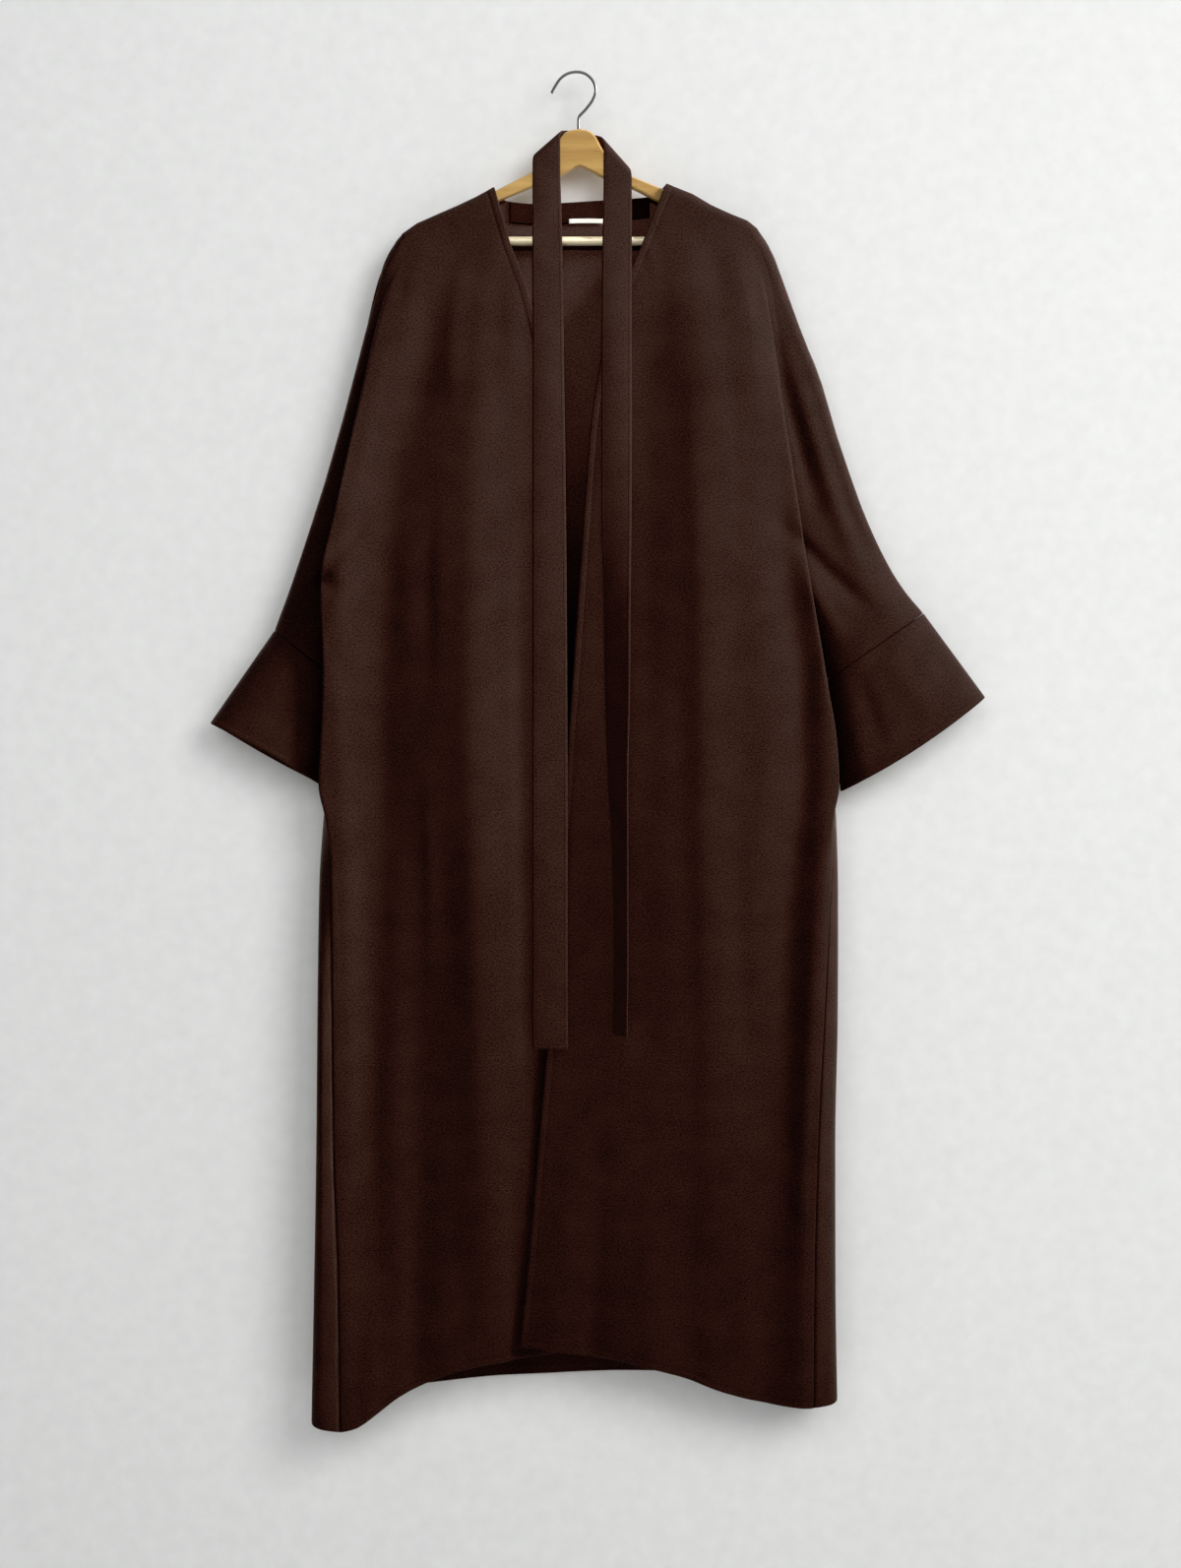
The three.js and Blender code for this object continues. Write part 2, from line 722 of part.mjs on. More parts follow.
function backPanel() {
  const sheet = new Sheet(CLOTH);
  const section = (z) => backSection(z, true);
  const columns = section(UNDERARM_Z).length;
  const leftSeam = SLEEVE_SHARES.length;
  const rightSeam = columns - 1 - SLEEVE_SHARES.length;
  const tops = [];
  for (let column = 0; column < columns; column += 1) {
    if (column === 0) {
      tops.push(LEFT.overarm[0][0]);
    } else if (column === columns - 1) {
      tops.push(RIGHT.overarm[0][0]);
    } else {
      tops.push(columnTop(section, column, backTop));
    }
  }
  const upper = UPPER_SHARES.map((share, rowNumber) => {
    const row = [];
    for (let column = 0; column < columns; column += 1) {
      const z = mix(tops[column], UNDERARM_Z, share);
      const [x, y] = section(z)[column];
      const side = x < 0 ? LEFT : RIGHT;
      const onShoulder = Math.abs(x) > side.shoulder[0][0] - 1.5;
      const onSeam = (rowNumber === 0 && onShoulder) || column === 0 || column === columns - 1;
      const depth = onSeam ? HALF_GAP : seatUpper(side, Math.abs(x), y, z, 1);
      const index = sheet.point(x, depth, z);
      if (onSeam) {
        sheet.flatten(index);
      }
      row.push(index);
    }
    return row;
  });
  const underarm = upper[upper.length - 1];
  sheet.pin(underarm[leftSeam], -0.3, 0.95, 0);
  sheet.pin(underarm[rightSeam], 0.3, 0.95, 0);
  sheet.net(upper, false);
  const bodySection = (z) => backSection(z, false);
  const bodyColumns = rightSeam - leftSeam + 1;
  const hemLine = (x) => smoothAt(BACK_HEM, x);
  const lower = [underarm.slice(leftSeam, rightSeam + 1)];
  const wrap = PLEAT_SHARES.length + FOLD_SHARES.length + 1;
  const hems = [];
  for (let column = 0; column < bodyColumns; column += 1) {
    const fromLeft = column / wrap;
    const fromRight = (bodyColumns - 1 - column) / wrap;
    if (fromLeft < 1) {
      hems.push(mix(LEFT.seamHem, hemLine(-LEFT_BACK[LEFT_BACK.length - 1][5]), fromLeft));
    } else if (fromRight < 1) {
      hems.push(mix(RIGHT.seamHem, hemLine(RIGHT_BACK[RIGHT_BACK.length - 1][5]), fromRight));
    } else {
      hems.push(columnHem(bodySection, column, hemLine));
    }
  }
  LOWER_SHARES.slice(1).forEach((share) => {
    const row = [];
    for (let column = 0; column < bodyColumns; column += 1) {
      const z = mix(UNDERARM_Z, hems[column], share);
      let [x, y] = bodySection(z)[column];
      const onSeam = column === 0 || column === bodyColumns - 1;
      const side = column === 0 ? LEFT : RIGHT;
      const [acrossOut, acrossBack] = seamDirection(side, z);
      if (onSeam) {
        x = side.sign * (smoothAt(side.front, z, 11) + acrossOut * HALF_GAP);
        y = -smoothAt(side.front, z, 12) * ease((UNDERARM_Z - z) / 40) + acrossBack * HALF_GAP;
      }
      const index = sheet.point(x, y, z);
      if (onSeam) {
        sheet.pin(index, side.sign * acrossBack, -acrossOut, 0);
      }
      row.push(index);
    }
    lower.push(row);
  });
  sheet.net(lower, false);
  const leftSleeve = addSleeve(sheet, LEFT, 1, underarm.slice(0, leftSeam + 1).reverse());
  sheet.net(leftSleeve, true);
  const rightSleeve = addSleeve(sheet, RIGHT, 1, underarm.slice(rightSeam));
  sheet.net(rightSleeve, false);
  return sheet;
}

addPart("front_left", frontPanel(LEFT).geometry(), COLOUR.cloth);
addPart("front_right", frontPanel(RIGHT).geometry(), COLOUR.cloth);
addPart("back", backPanel().geometry(), COLOUR.cloth);

// Cuff: a flared tube that goes on from the end of the sleeve
const CUFF_SEAM_GAP = 0.6;
const CUFF_ROWS = [0, 0.3, 0.65, 1];
function cuff(side) {
  const sheet = new Sheet(CLOTH);
  const outerStart = sleevePoint(side, 1, 1, -1);
  const innerStart = sleevePoint(side, 1, 0, -1);
  const outerLength = Math.hypot(side.cuffTip[0] - outerStart[0], side.cuffTip[1] - outerStart[2]);
  const shares = [0].concat(SLEEVE_SHARES);
  const ring = shares.map((share) => [share, -1]);
  shares.slice(1, -1).reverse().forEach((share) => ring.push([share, 1]));
  const rows = CUFF_ROWS.map((down) => {
    const part = mix(CUFF_SEAM_GAP / outerLength, 1, down);
    const outer = [mix(outerStart[0], side.cuffTip[0], part), mix(outerStart[2], side.cuffTip[1], part)];
    const inner = [mix(innerStart[0], side.cuffHeel[0], part), mix(innerStart[2], side.cuffHeel[1], part)];
    const row = ring.map(([share, facing]) => {
      const lens = Math.sqrt(Math.max(0, 1 - Math.abs(2 * share - 1) ** 2.6));
      const full = facing < 0 ? mix(21, 27, part) : mix(18, 23, part);
      const bow = Math.sin(Math.PI * share) * part;
      const drop = facing < 0 ? side.cuffBow * bow : (side.cuffBow + side.cuffSag) * bow;
      const out = mix(inner[0], outer[0], share);
      const z = mix(inner[1], outer[1], share) - drop;
      return sheet.point(side.sign * out, facing * full * lens, z);
    });
    row.push(row[0]);
    return row;
  });
  sheet.net(rows, side.sign > 0);
  return sheet;
}
addPart("cuff_left", cuff(LEFT).geometry(), COLOUR.cloth);
addPart("cuff_right", cuff(RIGHT).geometry(), COLOUR.cloth);

// Depth of the back panel's middle surface at a place near the neck
function backDepth(x, z) {
  const row = backSection(z, true);
  let column = 0;
  while (column + 2 < row.length && row[column + 1][0] < x) {
    column += 1;
  }
  const part = clamp((x - row[column][0]) / (row[column + 1][0] - row[column][0]), 0, 1);
  const y = mix(row[column][1], row[column + 1][1], part);
  return seatUpper(x < 0 ? LEFT : RIGHT, Math.abs(x), y, z, 1);
}

// Neck facing: a band inside the back neck, set in from the back panel
function neckFacing() {
  const sheet = new Sheet(FACING_THICK);
  const setIn = CLOTH / 2 + GAP + FACING_THICK / 2 + 0.1;
  const rows = [0.6, 8, 16, FACING_DEPTH].map((down) => {
    const row = [];
    for (let step = 0; step <= 12; step += 1) {
      const x = mix(FACING_ENDS[0], FACING_ENDS[1], step / 12);
      const z = backTop(x) - down;
      row.push(sheet.point(x, backDepth(x, z) - setIn, z));
    }
    return row;
  });
  sheet.net(rows, false);
  return sheet;
}
addPart("neck_facing", neckFacing().geometry(), COLOUR.facing);

// Blank label: a short strip in front of the lower edge of the facing
function neckLabel() {
  const sheet = new Sheet(LABEL_THICK);
  const setIn = CLOTH / 2 + GAP + FACING_THICK + GAP + LABEL_THICK / 2 + 0.2;
  const rows = LABEL_LEVELS.map((z) => {
    const row = [];
    for (let step = 0; step <= 4; step += 1) {
      const x = mix(LABEL_ENDS[0], LABEL_ENDS[1], step / 4);
      row.push(sheet.point(x, backDepth(x, z) - setIn, z));
    }
    return row;
  });
  sheet.net(rows, false);
  return sheet;
}
addPart("neck_label", neckLabel().geometry(), COLOUR.label);

// Belt tails: level, left edge, right edge, left edge forward, right edge forward
const LEFT_TAIL = [
  [-1134, -51.5, -11.5, 41.6, 41.6],
  [-1020, -51.5, -12, 39.2, 39.2],
  [-900, -51.5, -12, 37, 37],
  [-700, -51.5, -12.5, 33, 33],
  [-515, -51.5, -14, 29, 29],
  [-330, -51.5, -16.5, 22, 22],
  [-200, -52, -18.5, 14, 14],
  [-112, -52, -21, 7.1, 7.1],
];
const RIGHT_TAIL = [
  [-1117, 40.5, 56, 45.5, 78],
  [-1030, 42, 57, 44, 77],
  [-900, 40, 57, 41.2, 73],
  [-835, 36, 57, 41.5, 68],
  [-722, 32, 59.5, 38, 58],
  [-600, 30, 60.5, 34.5, 46],
  [-515, 28, 61.5, 31, 37],
  [-400, 28, 62, 26.5, 28.5],
  [-271, 28.5, 62, 19.7, 19.7],
  [-200, 29.5, 62.5, 14.2, 14.2],
  [-130, 30.8, 62.5, 7.1, 7.1],
];
// Folds over the hanger: a point on the fold's axis, its direction and its outward direction
const LEFT_FOLD = { axis: [-46.2, -101.6], along: [0.753, 0.658], outward: [-0.658, 0.753], advance: 20 };
const RIGHT_FOLD = { axis: [23.4, -81.0], along: [0.666, -0.746], outward: [0.746, 0.666], advance: 26 };

// Point on a fold's axis that lies straight under a given x
const axisAt = (fold, x) => {
  const part = (x - fold.axis[0]) / fold.along[0];
  return [x, fold.axis[1] + part * fold.along[1]];
};

// Row of the belt at one angle round a fold, from its first edge to its second
function foldRow(sheet, fold, edges, angle, columns) {
  const first = axisAt(fold, edges[0]);
  const second = axisAt(fold, edges[1]);
  const rise = BELT_FOLD_RADIUS * Math.sin(angle);
  const slide = (fold.advance * angle) / Math.PI;
  const shift = [0, 1].map((axis) => fold.outward[axis] * rise + fold.along[axis] * slide * fold.turn);
  const row = [];
  for (let column = 0; column <= columns; column += 1) {
    const share = column / columns;
    const x = mix(first[0], second[0], share) + shift[0];
    const z = mix(first[1], second[1], share) + shift[1];
    row.push(sheet.point(x, -BELT_FOLD_RADIUS * Math.cos(angle), z));
  }
  return row;
}

function tailRows(sheet, table, levels, columns, cup) {
  return levels.map((z) => {
    const row = [];
    for (let column = 0; column <= columns; column += 1) {
      const share = column / columns;
      const x = mix(smoothAt(table, z, 1), smoothAt(table, z, 2), share);
      const forward = mix(smoothAt(table, z, 3), smoothAt(table, z, 4), share);
      row.push(sheet.point(x, -forward - cup * Math.sin(Math.PI * share), z));
    }
    return row;
  });
}

const levelsBetween = (from, to, count) => {
  const levels = [];
  for (let step = 0; step <= count; step += 1) {
    levels.push(mix(from, to, step / count));
  }
  return levels;
};

function belt() {
  const sheet = new Sheet(BELT_THICK);
  const columns = 3;
  const angles = [0, 0.2, 0.4, 0.6, 0.8, 1].map((part) => part * Math.PI);
  const leftEdges = [LEFT_TAIL[7][1], LEFT_TAIL[7][2]];
  const rightEdges = [RIGHT_TAIL[10][1], RIGHT_TAIL[10][2]];
  const rows = tailRows(sheet, LEFT_TAIL, levelsBetween(-1134, -118, 13), columns, 1);
  LEFT_FOLD.turn = 1;
  angles.forEach((angle) => rows.push(foldRow(sheet, LEFT_FOLD, leftEdges, angle, columns)));
  RIGHT_FOLD.turn = -1;
  const over = angles.slice().reverse();
  over.forEach((angle) => rows.push(foldRow(sheet, RIGHT_FOLD, rightEdges, angle, columns).reverse()));
  const down = levelsBetween(-136, -1117, 16);
  tailRows(sheet, RIGHT_TAIL, down, columns, 1).forEach((row) => rows.push(row.reverse()));
  sheet.net(rows, true);
  return sheet;
}
addPart("belt", belt().geometry(), COLOUR.belt);

// Hanger body: a flat shaped board with bevelled edges, as x and level round its outline
const WOOD_DROP = 4.2;
const BOARD_MIDDLE_TOP = [
  [-97, -138.5],
  [-54, -116.5],
  [-40, -108],
  [-31, -97],
  [-26, -85],
  [-21, -76],
  [-15, -70],
  [-8, -67],
  [1, -65.8],
  [10, -66.6],
  [17, -70],
  [22, -76],
  [27, -86],
  [34, -98],
  [44, -110],
  [63, -121],
  [100, -136],
];
const BOARD_UNDERSIDE = [
  [205, -204],
  [170, -204],
  [170, -184],
  [94, -150],
  [63, -134.5],
  [30, -123],
  [1, -108],
  [-21, -121],
  [-54, -133.5],
  [-94, -150],
  [-166, -185],
  [-166, -204],
  [-199, -204],
];
function hangerBody() {
  const outline = [];
  [199, 187, 162, 139, 118].forEach((out) => outline.push([-out, shoulderZ(LEFT, out) - WOOD_DROP]));
  BOARD_MIDDLE_TOP.forEach((point) => outline.push(point));
  [134, 156, 178, 198].forEach((out) => outline.push([out, shoulderZ(RIGHT, out) - WOOD_DROP]));
  outline.push([205, -188]);
  BOARD_UNDERSIDE.forEach((point) => outline.push(point));
  const shape = new THREE.Shape(outline.map(([x, z]) => new THREE.Vector2(x, z)));
  const geometry = new THREE.ExtrudeGeometry(shape, {
    depth: WOOD_THICK - 2 * WOOD_BEVEL,
    bevelEnabled: true,
    bevelThickness: WOOD_BEVEL,
    bevelSize: WOOD_BEVEL,
    bevelOffset: -WOOD_BEVEL,
    bevelSegments: 2,
  });
  geometry.translate(0, 0, -(WOOD_THICK - 2 * WOOD_BEVEL) / 2);
  geometry.rotateX(Math.PI / 2);
  return geometry;
}
addPart("hanger_body", hangerBody(), COLOUR.wood, 0.5);

// Bar: a round rod between the drops at the ends of the board
const barGeometry = new THREE.CylinderGeometry(BAR_RADIUS, BAR_RADIUS, BAR_ENDS[1] - BAR_ENDS[0], 16);
barGeometry.rotateZ(Math.PI / 2);
barGeometry.translate((BAR_ENDS[0] + BAR_ENDS[1]) / 2, 0, BAR_Z);
addPart("hanger_bar", barGeometry, COLOUR.bar, 0.5);

// Hook: round wire along its middle line, from the tip over the crown to the board
const HOOK_LINE = [
  [-30.5, -23],
  [-26.5, -15.5],
  [-20, -6],
  [-11, 0],
  [0, 1.75],
  [10, -1],
  [18, -9],
  [21, -20],
  [17.5, -31],
  [9.5, -42],
  [2.2, -50],
  [1, -57],
  [1, -65.4],
];
const hookCurve = new THREE.CatmullRomCurve3(HOOK_LINE.map(([x, z]) => new THREE.Vector3(x, 0, z)));
const wireSection = new THREE.Shape();
wireSection.absarc(0, 0, WIRE_RADIUS, 0, 2 * Math.PI, false);
const hookGeometry = new THREE.ExtrudeGeometry(wireSection, {
  steps: 36,
  curveSegments: 5,
  bevelEnabled: false,
  extrudePath: hookCurve,
});
addPart("hanger_hook", hookGeometry, COLOUR.steel, 0.3);

export default group;
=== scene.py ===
"""Looks for an open abaya coat on its hanger: cloth shells with their folds, wood, wire, light and camera.

Lengths inside the form code are in millimetres, in the same frame as the solids: Z is up, the front
faces -Y and the origin is under the hook's crown. Meshes are made in metres at the end.
"""

from __future__ import annotations

import json
import logging
import math
from dataclasses import dataclass
from enum import Enum
from typing import Callable, Sequence

import bpy
import numpy as np
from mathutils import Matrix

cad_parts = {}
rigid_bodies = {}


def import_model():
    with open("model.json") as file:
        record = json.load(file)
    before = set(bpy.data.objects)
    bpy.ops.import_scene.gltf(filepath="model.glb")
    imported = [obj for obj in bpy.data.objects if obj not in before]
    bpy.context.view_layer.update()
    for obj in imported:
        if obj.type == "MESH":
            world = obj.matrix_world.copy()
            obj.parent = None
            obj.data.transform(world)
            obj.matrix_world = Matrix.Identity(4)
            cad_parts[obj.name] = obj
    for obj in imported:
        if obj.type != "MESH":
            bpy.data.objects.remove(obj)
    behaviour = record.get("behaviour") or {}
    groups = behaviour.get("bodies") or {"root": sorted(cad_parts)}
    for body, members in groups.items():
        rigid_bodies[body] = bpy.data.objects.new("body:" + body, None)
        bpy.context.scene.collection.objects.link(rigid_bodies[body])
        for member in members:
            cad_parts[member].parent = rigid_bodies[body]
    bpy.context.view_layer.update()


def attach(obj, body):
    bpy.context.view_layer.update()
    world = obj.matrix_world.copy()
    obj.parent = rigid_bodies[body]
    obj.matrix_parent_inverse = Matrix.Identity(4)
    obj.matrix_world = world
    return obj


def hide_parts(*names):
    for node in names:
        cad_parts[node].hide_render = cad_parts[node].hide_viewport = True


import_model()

LOG = logging.getLogger("abaya_coat")
MM = 0.001

# Short names for the types: an array, an array or one number, a section's out and Y, and so on
Array = np.ndarray
Values = np.ndarray | float
Section = tuple[np.ndarray, np.ndarray]
Pair = tuple[float, float]
Triple = tuple[float, float, float]
Tint = tuple[float, float, float, float]
Table = Sequence[Sequence[float]]
Material = bpy.types.Material
Piece = bpy.types.Object
Socket = bpy.types.NodeSocket
Tree = bpy.types.NodeTree

# Driving sizes, the same as the solids'
CLOTH = 2.0
BELT_THICK = 2.4
FACING_THICK = 1.2
LABEL_THICK = 0.8
GAP = 0.3
SEAM_SINK = 0.7
HALF_GAP = GAP / 2
SHOULDER_ROUND = 9.5
UNDERARM_Z = -515.0
SHOULDER_EASE = 120.0
FOLD_ROUND = 8.0
PLEAT_ROUND = 7.0
SIDE_ROUND = 15.0
SEAM_EASE = 40.0
LENS_POWER = 2.6
BOW_POWER = 0.8
FAR_FROM_EDGE = 400.0
# How far in from each kind of edge its stitches lie
FRONT_STITCH, BACK_STITCH, CUFF_STITCH, BELT_STITCH, FACING_STITCH = 7.5, 8.5, 8.0, 3.4, 3.0
# Depth of the cuffs' open ends in front and behind
CUFF_MOUTH = (27.0, 23.0)

# Columns of the section tables
PLEAT_OUT, PLEAT_Y, SEAM_OUT, SEAM_Y = 9, 10, 11, 12
CORNER_OUT, CORNER_Y, START_OUT, START_Y = 1, 2, 5, 6

# Each side is set out by distance from the middle, so one set of functions makes both sides.
# Front sections: level, front edge, fold corner, pleat corner and seam, each as out and forward
LEFT_FRONT = (
    # z, edge, edge y, y at 0.2, 0.45, 0.7, 0.88, fold, fold y, pleat, pleat y, seam, seam y
    (-133, 98, 9.5, 9.5, 9.5, 9.5, 9.5, 172, 9.5, 178, 9.5, 186, 9.5),
    (-200, 79, 12, 13, 12, 14, 15, 192, 14, 198, 12, 203, 11),
    (-260, 58, 14, 16, 18, 18, 20, 220, 20, 222, 15, 224, 13),
    (-340, 41, 16, 20, 24, 20, 25, 243, 28, 236, 19, 233, 14),
    (-430, 31, 18, 23, 29, 23, 29, 264, 35, 232, 16, 230, 8),
    (-515, 25, 20, 26, 33, 26, 32, 282, 38, 223, 9, 220, 1.1),
    (-600, 20, 21, 28, 36, 28, 34, 299, 39, 246, 14, 238, 5),
    (-700, 14, 22, 29, 38, 29, 34, 296, 39, 269, 21, 262, 17),
    (-780, 10, 22, 30, 39, 30, 34, 298, 39, 289, 29, 283, 24),
    (-830, 8, 22, 30, 39, 30, 34, 299, 39, 295, 32, 291, 28),
    (-870, 7, 22, 30, 39, 30, 34, 290, 39, 289, 35, 287, 32),
    (-950, 5, 23, 31, 39, 31, 33, 276, 38, 280, 39, 283, 39),
    (-1100, 1, 25, 33, 41, 33, 34, 270, 39, 276, 40, 282, 40),
    (-1250, -2, 27, 35, 43, 36, 37, 266, 42, 273, 43, 280, 43),
    (-1400, -4, 29, 38, 46, 41, 42, 260, 47, 267, 48, 274, 48),
    (-1575, -7, 31, 41, 49, 46, 49, 256, 54, 264, 54, 271, 53),
)
RIGHT_FRONT = (
    (-129, 104, 9.5, 9.5, 9.5, 9.5, 9.5, 176, 9.5, 182, 9.5, 190, 9.5),
    (-200, 76, 12, 13, 14, 15, 15, 194, 14, 200, 12, 205, 11),
    (-260, 52, 15, 17, 20, 21, 21, 215, 18, 218, 15, 219, 13),
    (-340, 27, 18, 19, 26, 30, 28, 232, 24, 227, 18, 223, 14),
    (-430, 14, 21, 23, 31, 34.5, 32, 246, 29, 218, 15, 215, 8),
    (-515, 8, 24, 27, 36, 38, 35, 259, 32, 208, 9, 205, 1.1),
    (-600, 2, 26, 30, 39, 39.5, 35, 272, 33, 238, 14, 228, 5),
    (-700, -5, 28, 33, 41, 40, 34.5, 289, 34, 269, 20, 262, 17),
    (-780, -11, 29, 36, 42, 40, 34, 300, 34, 296, 29, 290, 24),
    (-830, -14, 30, 37, 42.5, 40.5, 34, 302, 35, 300, 31, 297, 27),
    (-870, -17, 30, 37, 43, 41, 34, 293, 37, 295, 34, 296, 29),
    (-950, -22, 32, 39, 44, 42, 35, 280, 39, 286, 38, 292, 33),
    (-1100, -32, 35, 42, 46, 44, 37, 270, 42, 277, 41, 284, 38),
    (-1250, -45, 39, 45, 50, 48, 41, 262, 46, 269, 44, 276, 42),
    (-1400, -58, 44, 50, 54, 52, 45, 258, 51, 265, 49, 272, 46),
    (-1575, -77, 49, 54, 59, 57, 51, 256, 56, 263, 54, 270, 51),
)
# Back sections: level, inner corner, side fold and the start of the flat back, each as out and y
LEFT_BACK = (
    # z, corner, corner y, fold, fold y, back start, back start y
    (-133, 180, 9.5, 172, 9.5, 155, 9.5),
    (-200, 199, 11, 191, 12, 172, 13),
    (-260, 222, 14, 217, 18, 196, 20),
    (-340, 234, 17, 238, 24, 214, 27),
    (-430, 234, 15, 256, 24, 225, 30),
    (-515, 224, 10, 271, 22, 236, 30),
    (-600, 240, 8, 282, 23, 246, 30),
    (-700, 258, 0, 289, 22, 254, 30),
    (-780, 272, -3, 294, 21, 258, 29),
    (-830, 282, -5, 296, 19, 260, 29),
    (-870, 295, -12, 297, 17, 262, 28),
    (-950, 299, -30, 298, 14, 264, 28),
    (-1100, 300, -40, 299, 12, 265, 29),
    (-1250, 301, -43, 300, 10, 265, 30),
    (-1400, 303, -47, 302, 8, 267, 31),
    (-1575, 306, -51, 304, 4, 270, 31),
)
RIGHT_BACK = (
    (-129, 184, 9.5, 176, 9.5, 158, 9.5), (-200, 201, 11, 193, 12, 174, 13),
    (-260, 217, 14, 212, 18, 192, 20), (-340, 224, 17, 226, 24, 204, 27), (-430, 218, 15, 240, 24, 210, 30),
    (-515, 209, 10, 253, 22, 218, 30), (-600, 231, 8, 267, 23, 232, 30), (-700, 262, 0, 284, 22, 250, 30),
    (-780, 284, -3, 297, 20, 260, 29), (-830, 295, -6, 300, 18, 263, 29), (-870, 300, -14, 301, 16, 264, 28),
    (-950, 302, -23, 301, 14, 265, 28), (-1100, 301, -31, 300, 12, 265, 29),
    (-1250, 298, -33, 297, 10, 263, 30), (-1400, 298, -36, 297, 8, 263, 31),
    (-1575, 300, -42, 299, 4, 266, 31),
)
# Depth of the middle of the back at each level
BACK_MIDDLE = ((-129, 9.5), (-200, 12), (-340, 17), (-515, 21), (-900, 24), (-1250, 27), (-1575, 29))

# Shoulder and overarm lines from the neck to the sleeve end, as out and level
LEFT_SHOULDER = ((98, -134), (118, -145), (139, -155), (162, -165), (187, -176), (204, -188))
RIGHT_SHOULDER = ((104, -130), (134, -142), (156, -155), (178, -165), (198, -173), (209, -182))
LEFT_OVERARM = (
    (-188, 204), (-200, 213), (-231, 228), (-303, 247), (-403, 273), (-480, 295), (-557, 320), (-602, 335),
    (-651, 353),
)
RIGHT_OVERARM = (
    (-182, 209), (-208, 225), (-235, 236), (-296, 258), (-362, 284), (-427, 303), (-510, 332), (-578, 364),
    (-606, 382), (-631, 403),
)
# Underarm lines from the armpit to the sleeve end, as level and out
LEFT_UNDERARM = ((-515, 220), (-600, 249), (-660, 268), (-706, 282))
RIGHT_UNDERARM = ((-515, 205), (-600, 240), (-660, 271), (-707, 293))
# Sleeve layers: share of the way down, depth in front and behind
SLEEVE_DEPTH = ((0, 12, 10), (0.4, 15, 12), (0.75, 19, 16), (1, 21, 18))

# Hems as out or x and level
LEFT_FRONT_HEM = (
    (-7, -1483), (20, -1484), (66, -1490), (132, -1502), (157, -1510), (181, -1521), (206, -1534),
    (229, -1551), (253, -1567), (272, -1572),
)
RIGHT_FRONT_HEM = (
    (-70, -1474), (-24, -1480), (41, -1488), (111, -1505), (176, -1528), (237, -1542), (270, -1545),
)
BACK_HEM = (
    (-306, -1556), (-270, -1547), (-187, -1538), (-93, -1528), (50, -1522), (180, -1525), (265, -1530),
    (300, -1535),
)
# Back neck edge as x and level
BACK_NECK = ((-98, -134), (-84, -147), (-50, -150), (20, -147), (80, -143), (104, -130))


@dataclass(frozen=True)
class Side:
    """One side of the coat, set out from the middle.

    Args:
        sign: -1 for the side at negative X, 1 for the other.
        front, back: section tables.
        shoulder, overarm, underarm: the sleeve's lines.
        front_hem: hem of the front.
        seam_hem: level of the hem at the side seam.
        cuff_tip, cuff_heel: outer and inner ends of the cuff's opening, as out and level.
        cuff_bow, cuff_sag: how far the cuff's opening bows and the back layer hangs below.
    """

    sign: int
    front: Table
    back: Table
    shoulder: Table
    overarm: Table
    underarm: Table
    front_hem: Table
    seam_hem: float
    cuff_tip: Pair
    cuff_heel: Pair
    cuff_bow: float
    cuff_sag: float


LEFT = Side(
    sign=-1, front=LEFT_FRONT, back=LEFT_BACK, shoulder=LEFT_SHOULDER, overarm=LEFT_OVERARM,
    underarm=LEFT_UNDERARM, front_hem=LEFT_FRONT_HEM, seam_hem=-1572.0, cuff_tip=(428.0, -759.0),
    cuff_heel=(297.0, -832.0), cuff_bow=-4.0, cuff_sag=7.0,
)
RIGHT = Side(
    sign=1, front=RIGHT_FRONT, back=RIGHT_BACK, shoulder=RIGHT_SHOULDER, overarm=RIGHT_OVERARM,
    underarm=RIGHT_UNDERARM, front_hem=RIGHT_FRONT_HEM, seam_hem=-1545.0, cuff_tip=(475.0, -729.0),
    cuff_heel=(308.0, -838.0), cuff_bow=6.0, cuff_sag=2.0,
)


def knot_slope(before: Array, after: Array) -> Array:
    """Slope of a smooth line at a knot.

    Args:
        before, after: slopes of the straight lines on both sides.

    Returns:
        Their harmonic mean, or nothing where they differ in sign.
    """
    same = before * after > 0
    return np.where(same, 2 * before * after / np.where(same, before + after, 1.0), 0.0)


def cubic(part: Values, span: Values, ends: Sequence[Values], slopes: Sequence[Values]) -> Array:
    """Cubic from one knot to the next, with the four usual weights in the part's square and cube.

    Args:
        part: how far along, from 0 to 1.
        span: distance between the knots.
        ends, slopes: the values and the slopes at both knots.

    Returns:
        The values.
    """
    square = part * part
    cube = square * part
    return (
        (2 * cube - 3 * square + 1) * ends[0] + (cube - 2 * square + part) * span * slopes[0]
        + (3 * square - 2 * cube) * ends[1] + (cube - square) * span * slopes[1]
    )


def smooth_at(table: Table, at: Values, column: int = 1) -> Array:
    """Reads a smooth line through a table that is sorted by its first column.

    The line is a cubic between knots whose slope at a knot is the harmonic mean of the slopes on
    both sides, or nothing where they differ in sign, so it never swings past a knot.

    Args:
        table: rows of numbers.
        at: where to read, in the first column's unit.
        column: which column to read.

    Returns:
        The values, in the shape of at.
    """
    rows = np.asarray(table, dtype=float)
    place = np.asarray(at, dtype=float)
    key = rows[:, 0]
    value = rows[:, column]
    if key[1] < key[0]:
        key, value = -key, value
        place = -place
    slope = np.diff(value) / np.diff(key)
    tangent = np.concatenate([slope[:1], knot_slope(slope[:-1], slope[1:]), slope[-1:]])
    place = np.clip(place, key[0], key[-1])
    row = np.clip(np.searchsorted(key, place, side="right") - 1, 0, len(key) - 2)
    span = key[row + 1] - key[row]
    part = (place - key[row]) / span
    return cubic(part, span, (value[row], value[row + 1]), (tangent[row], tangent[row + 1]))


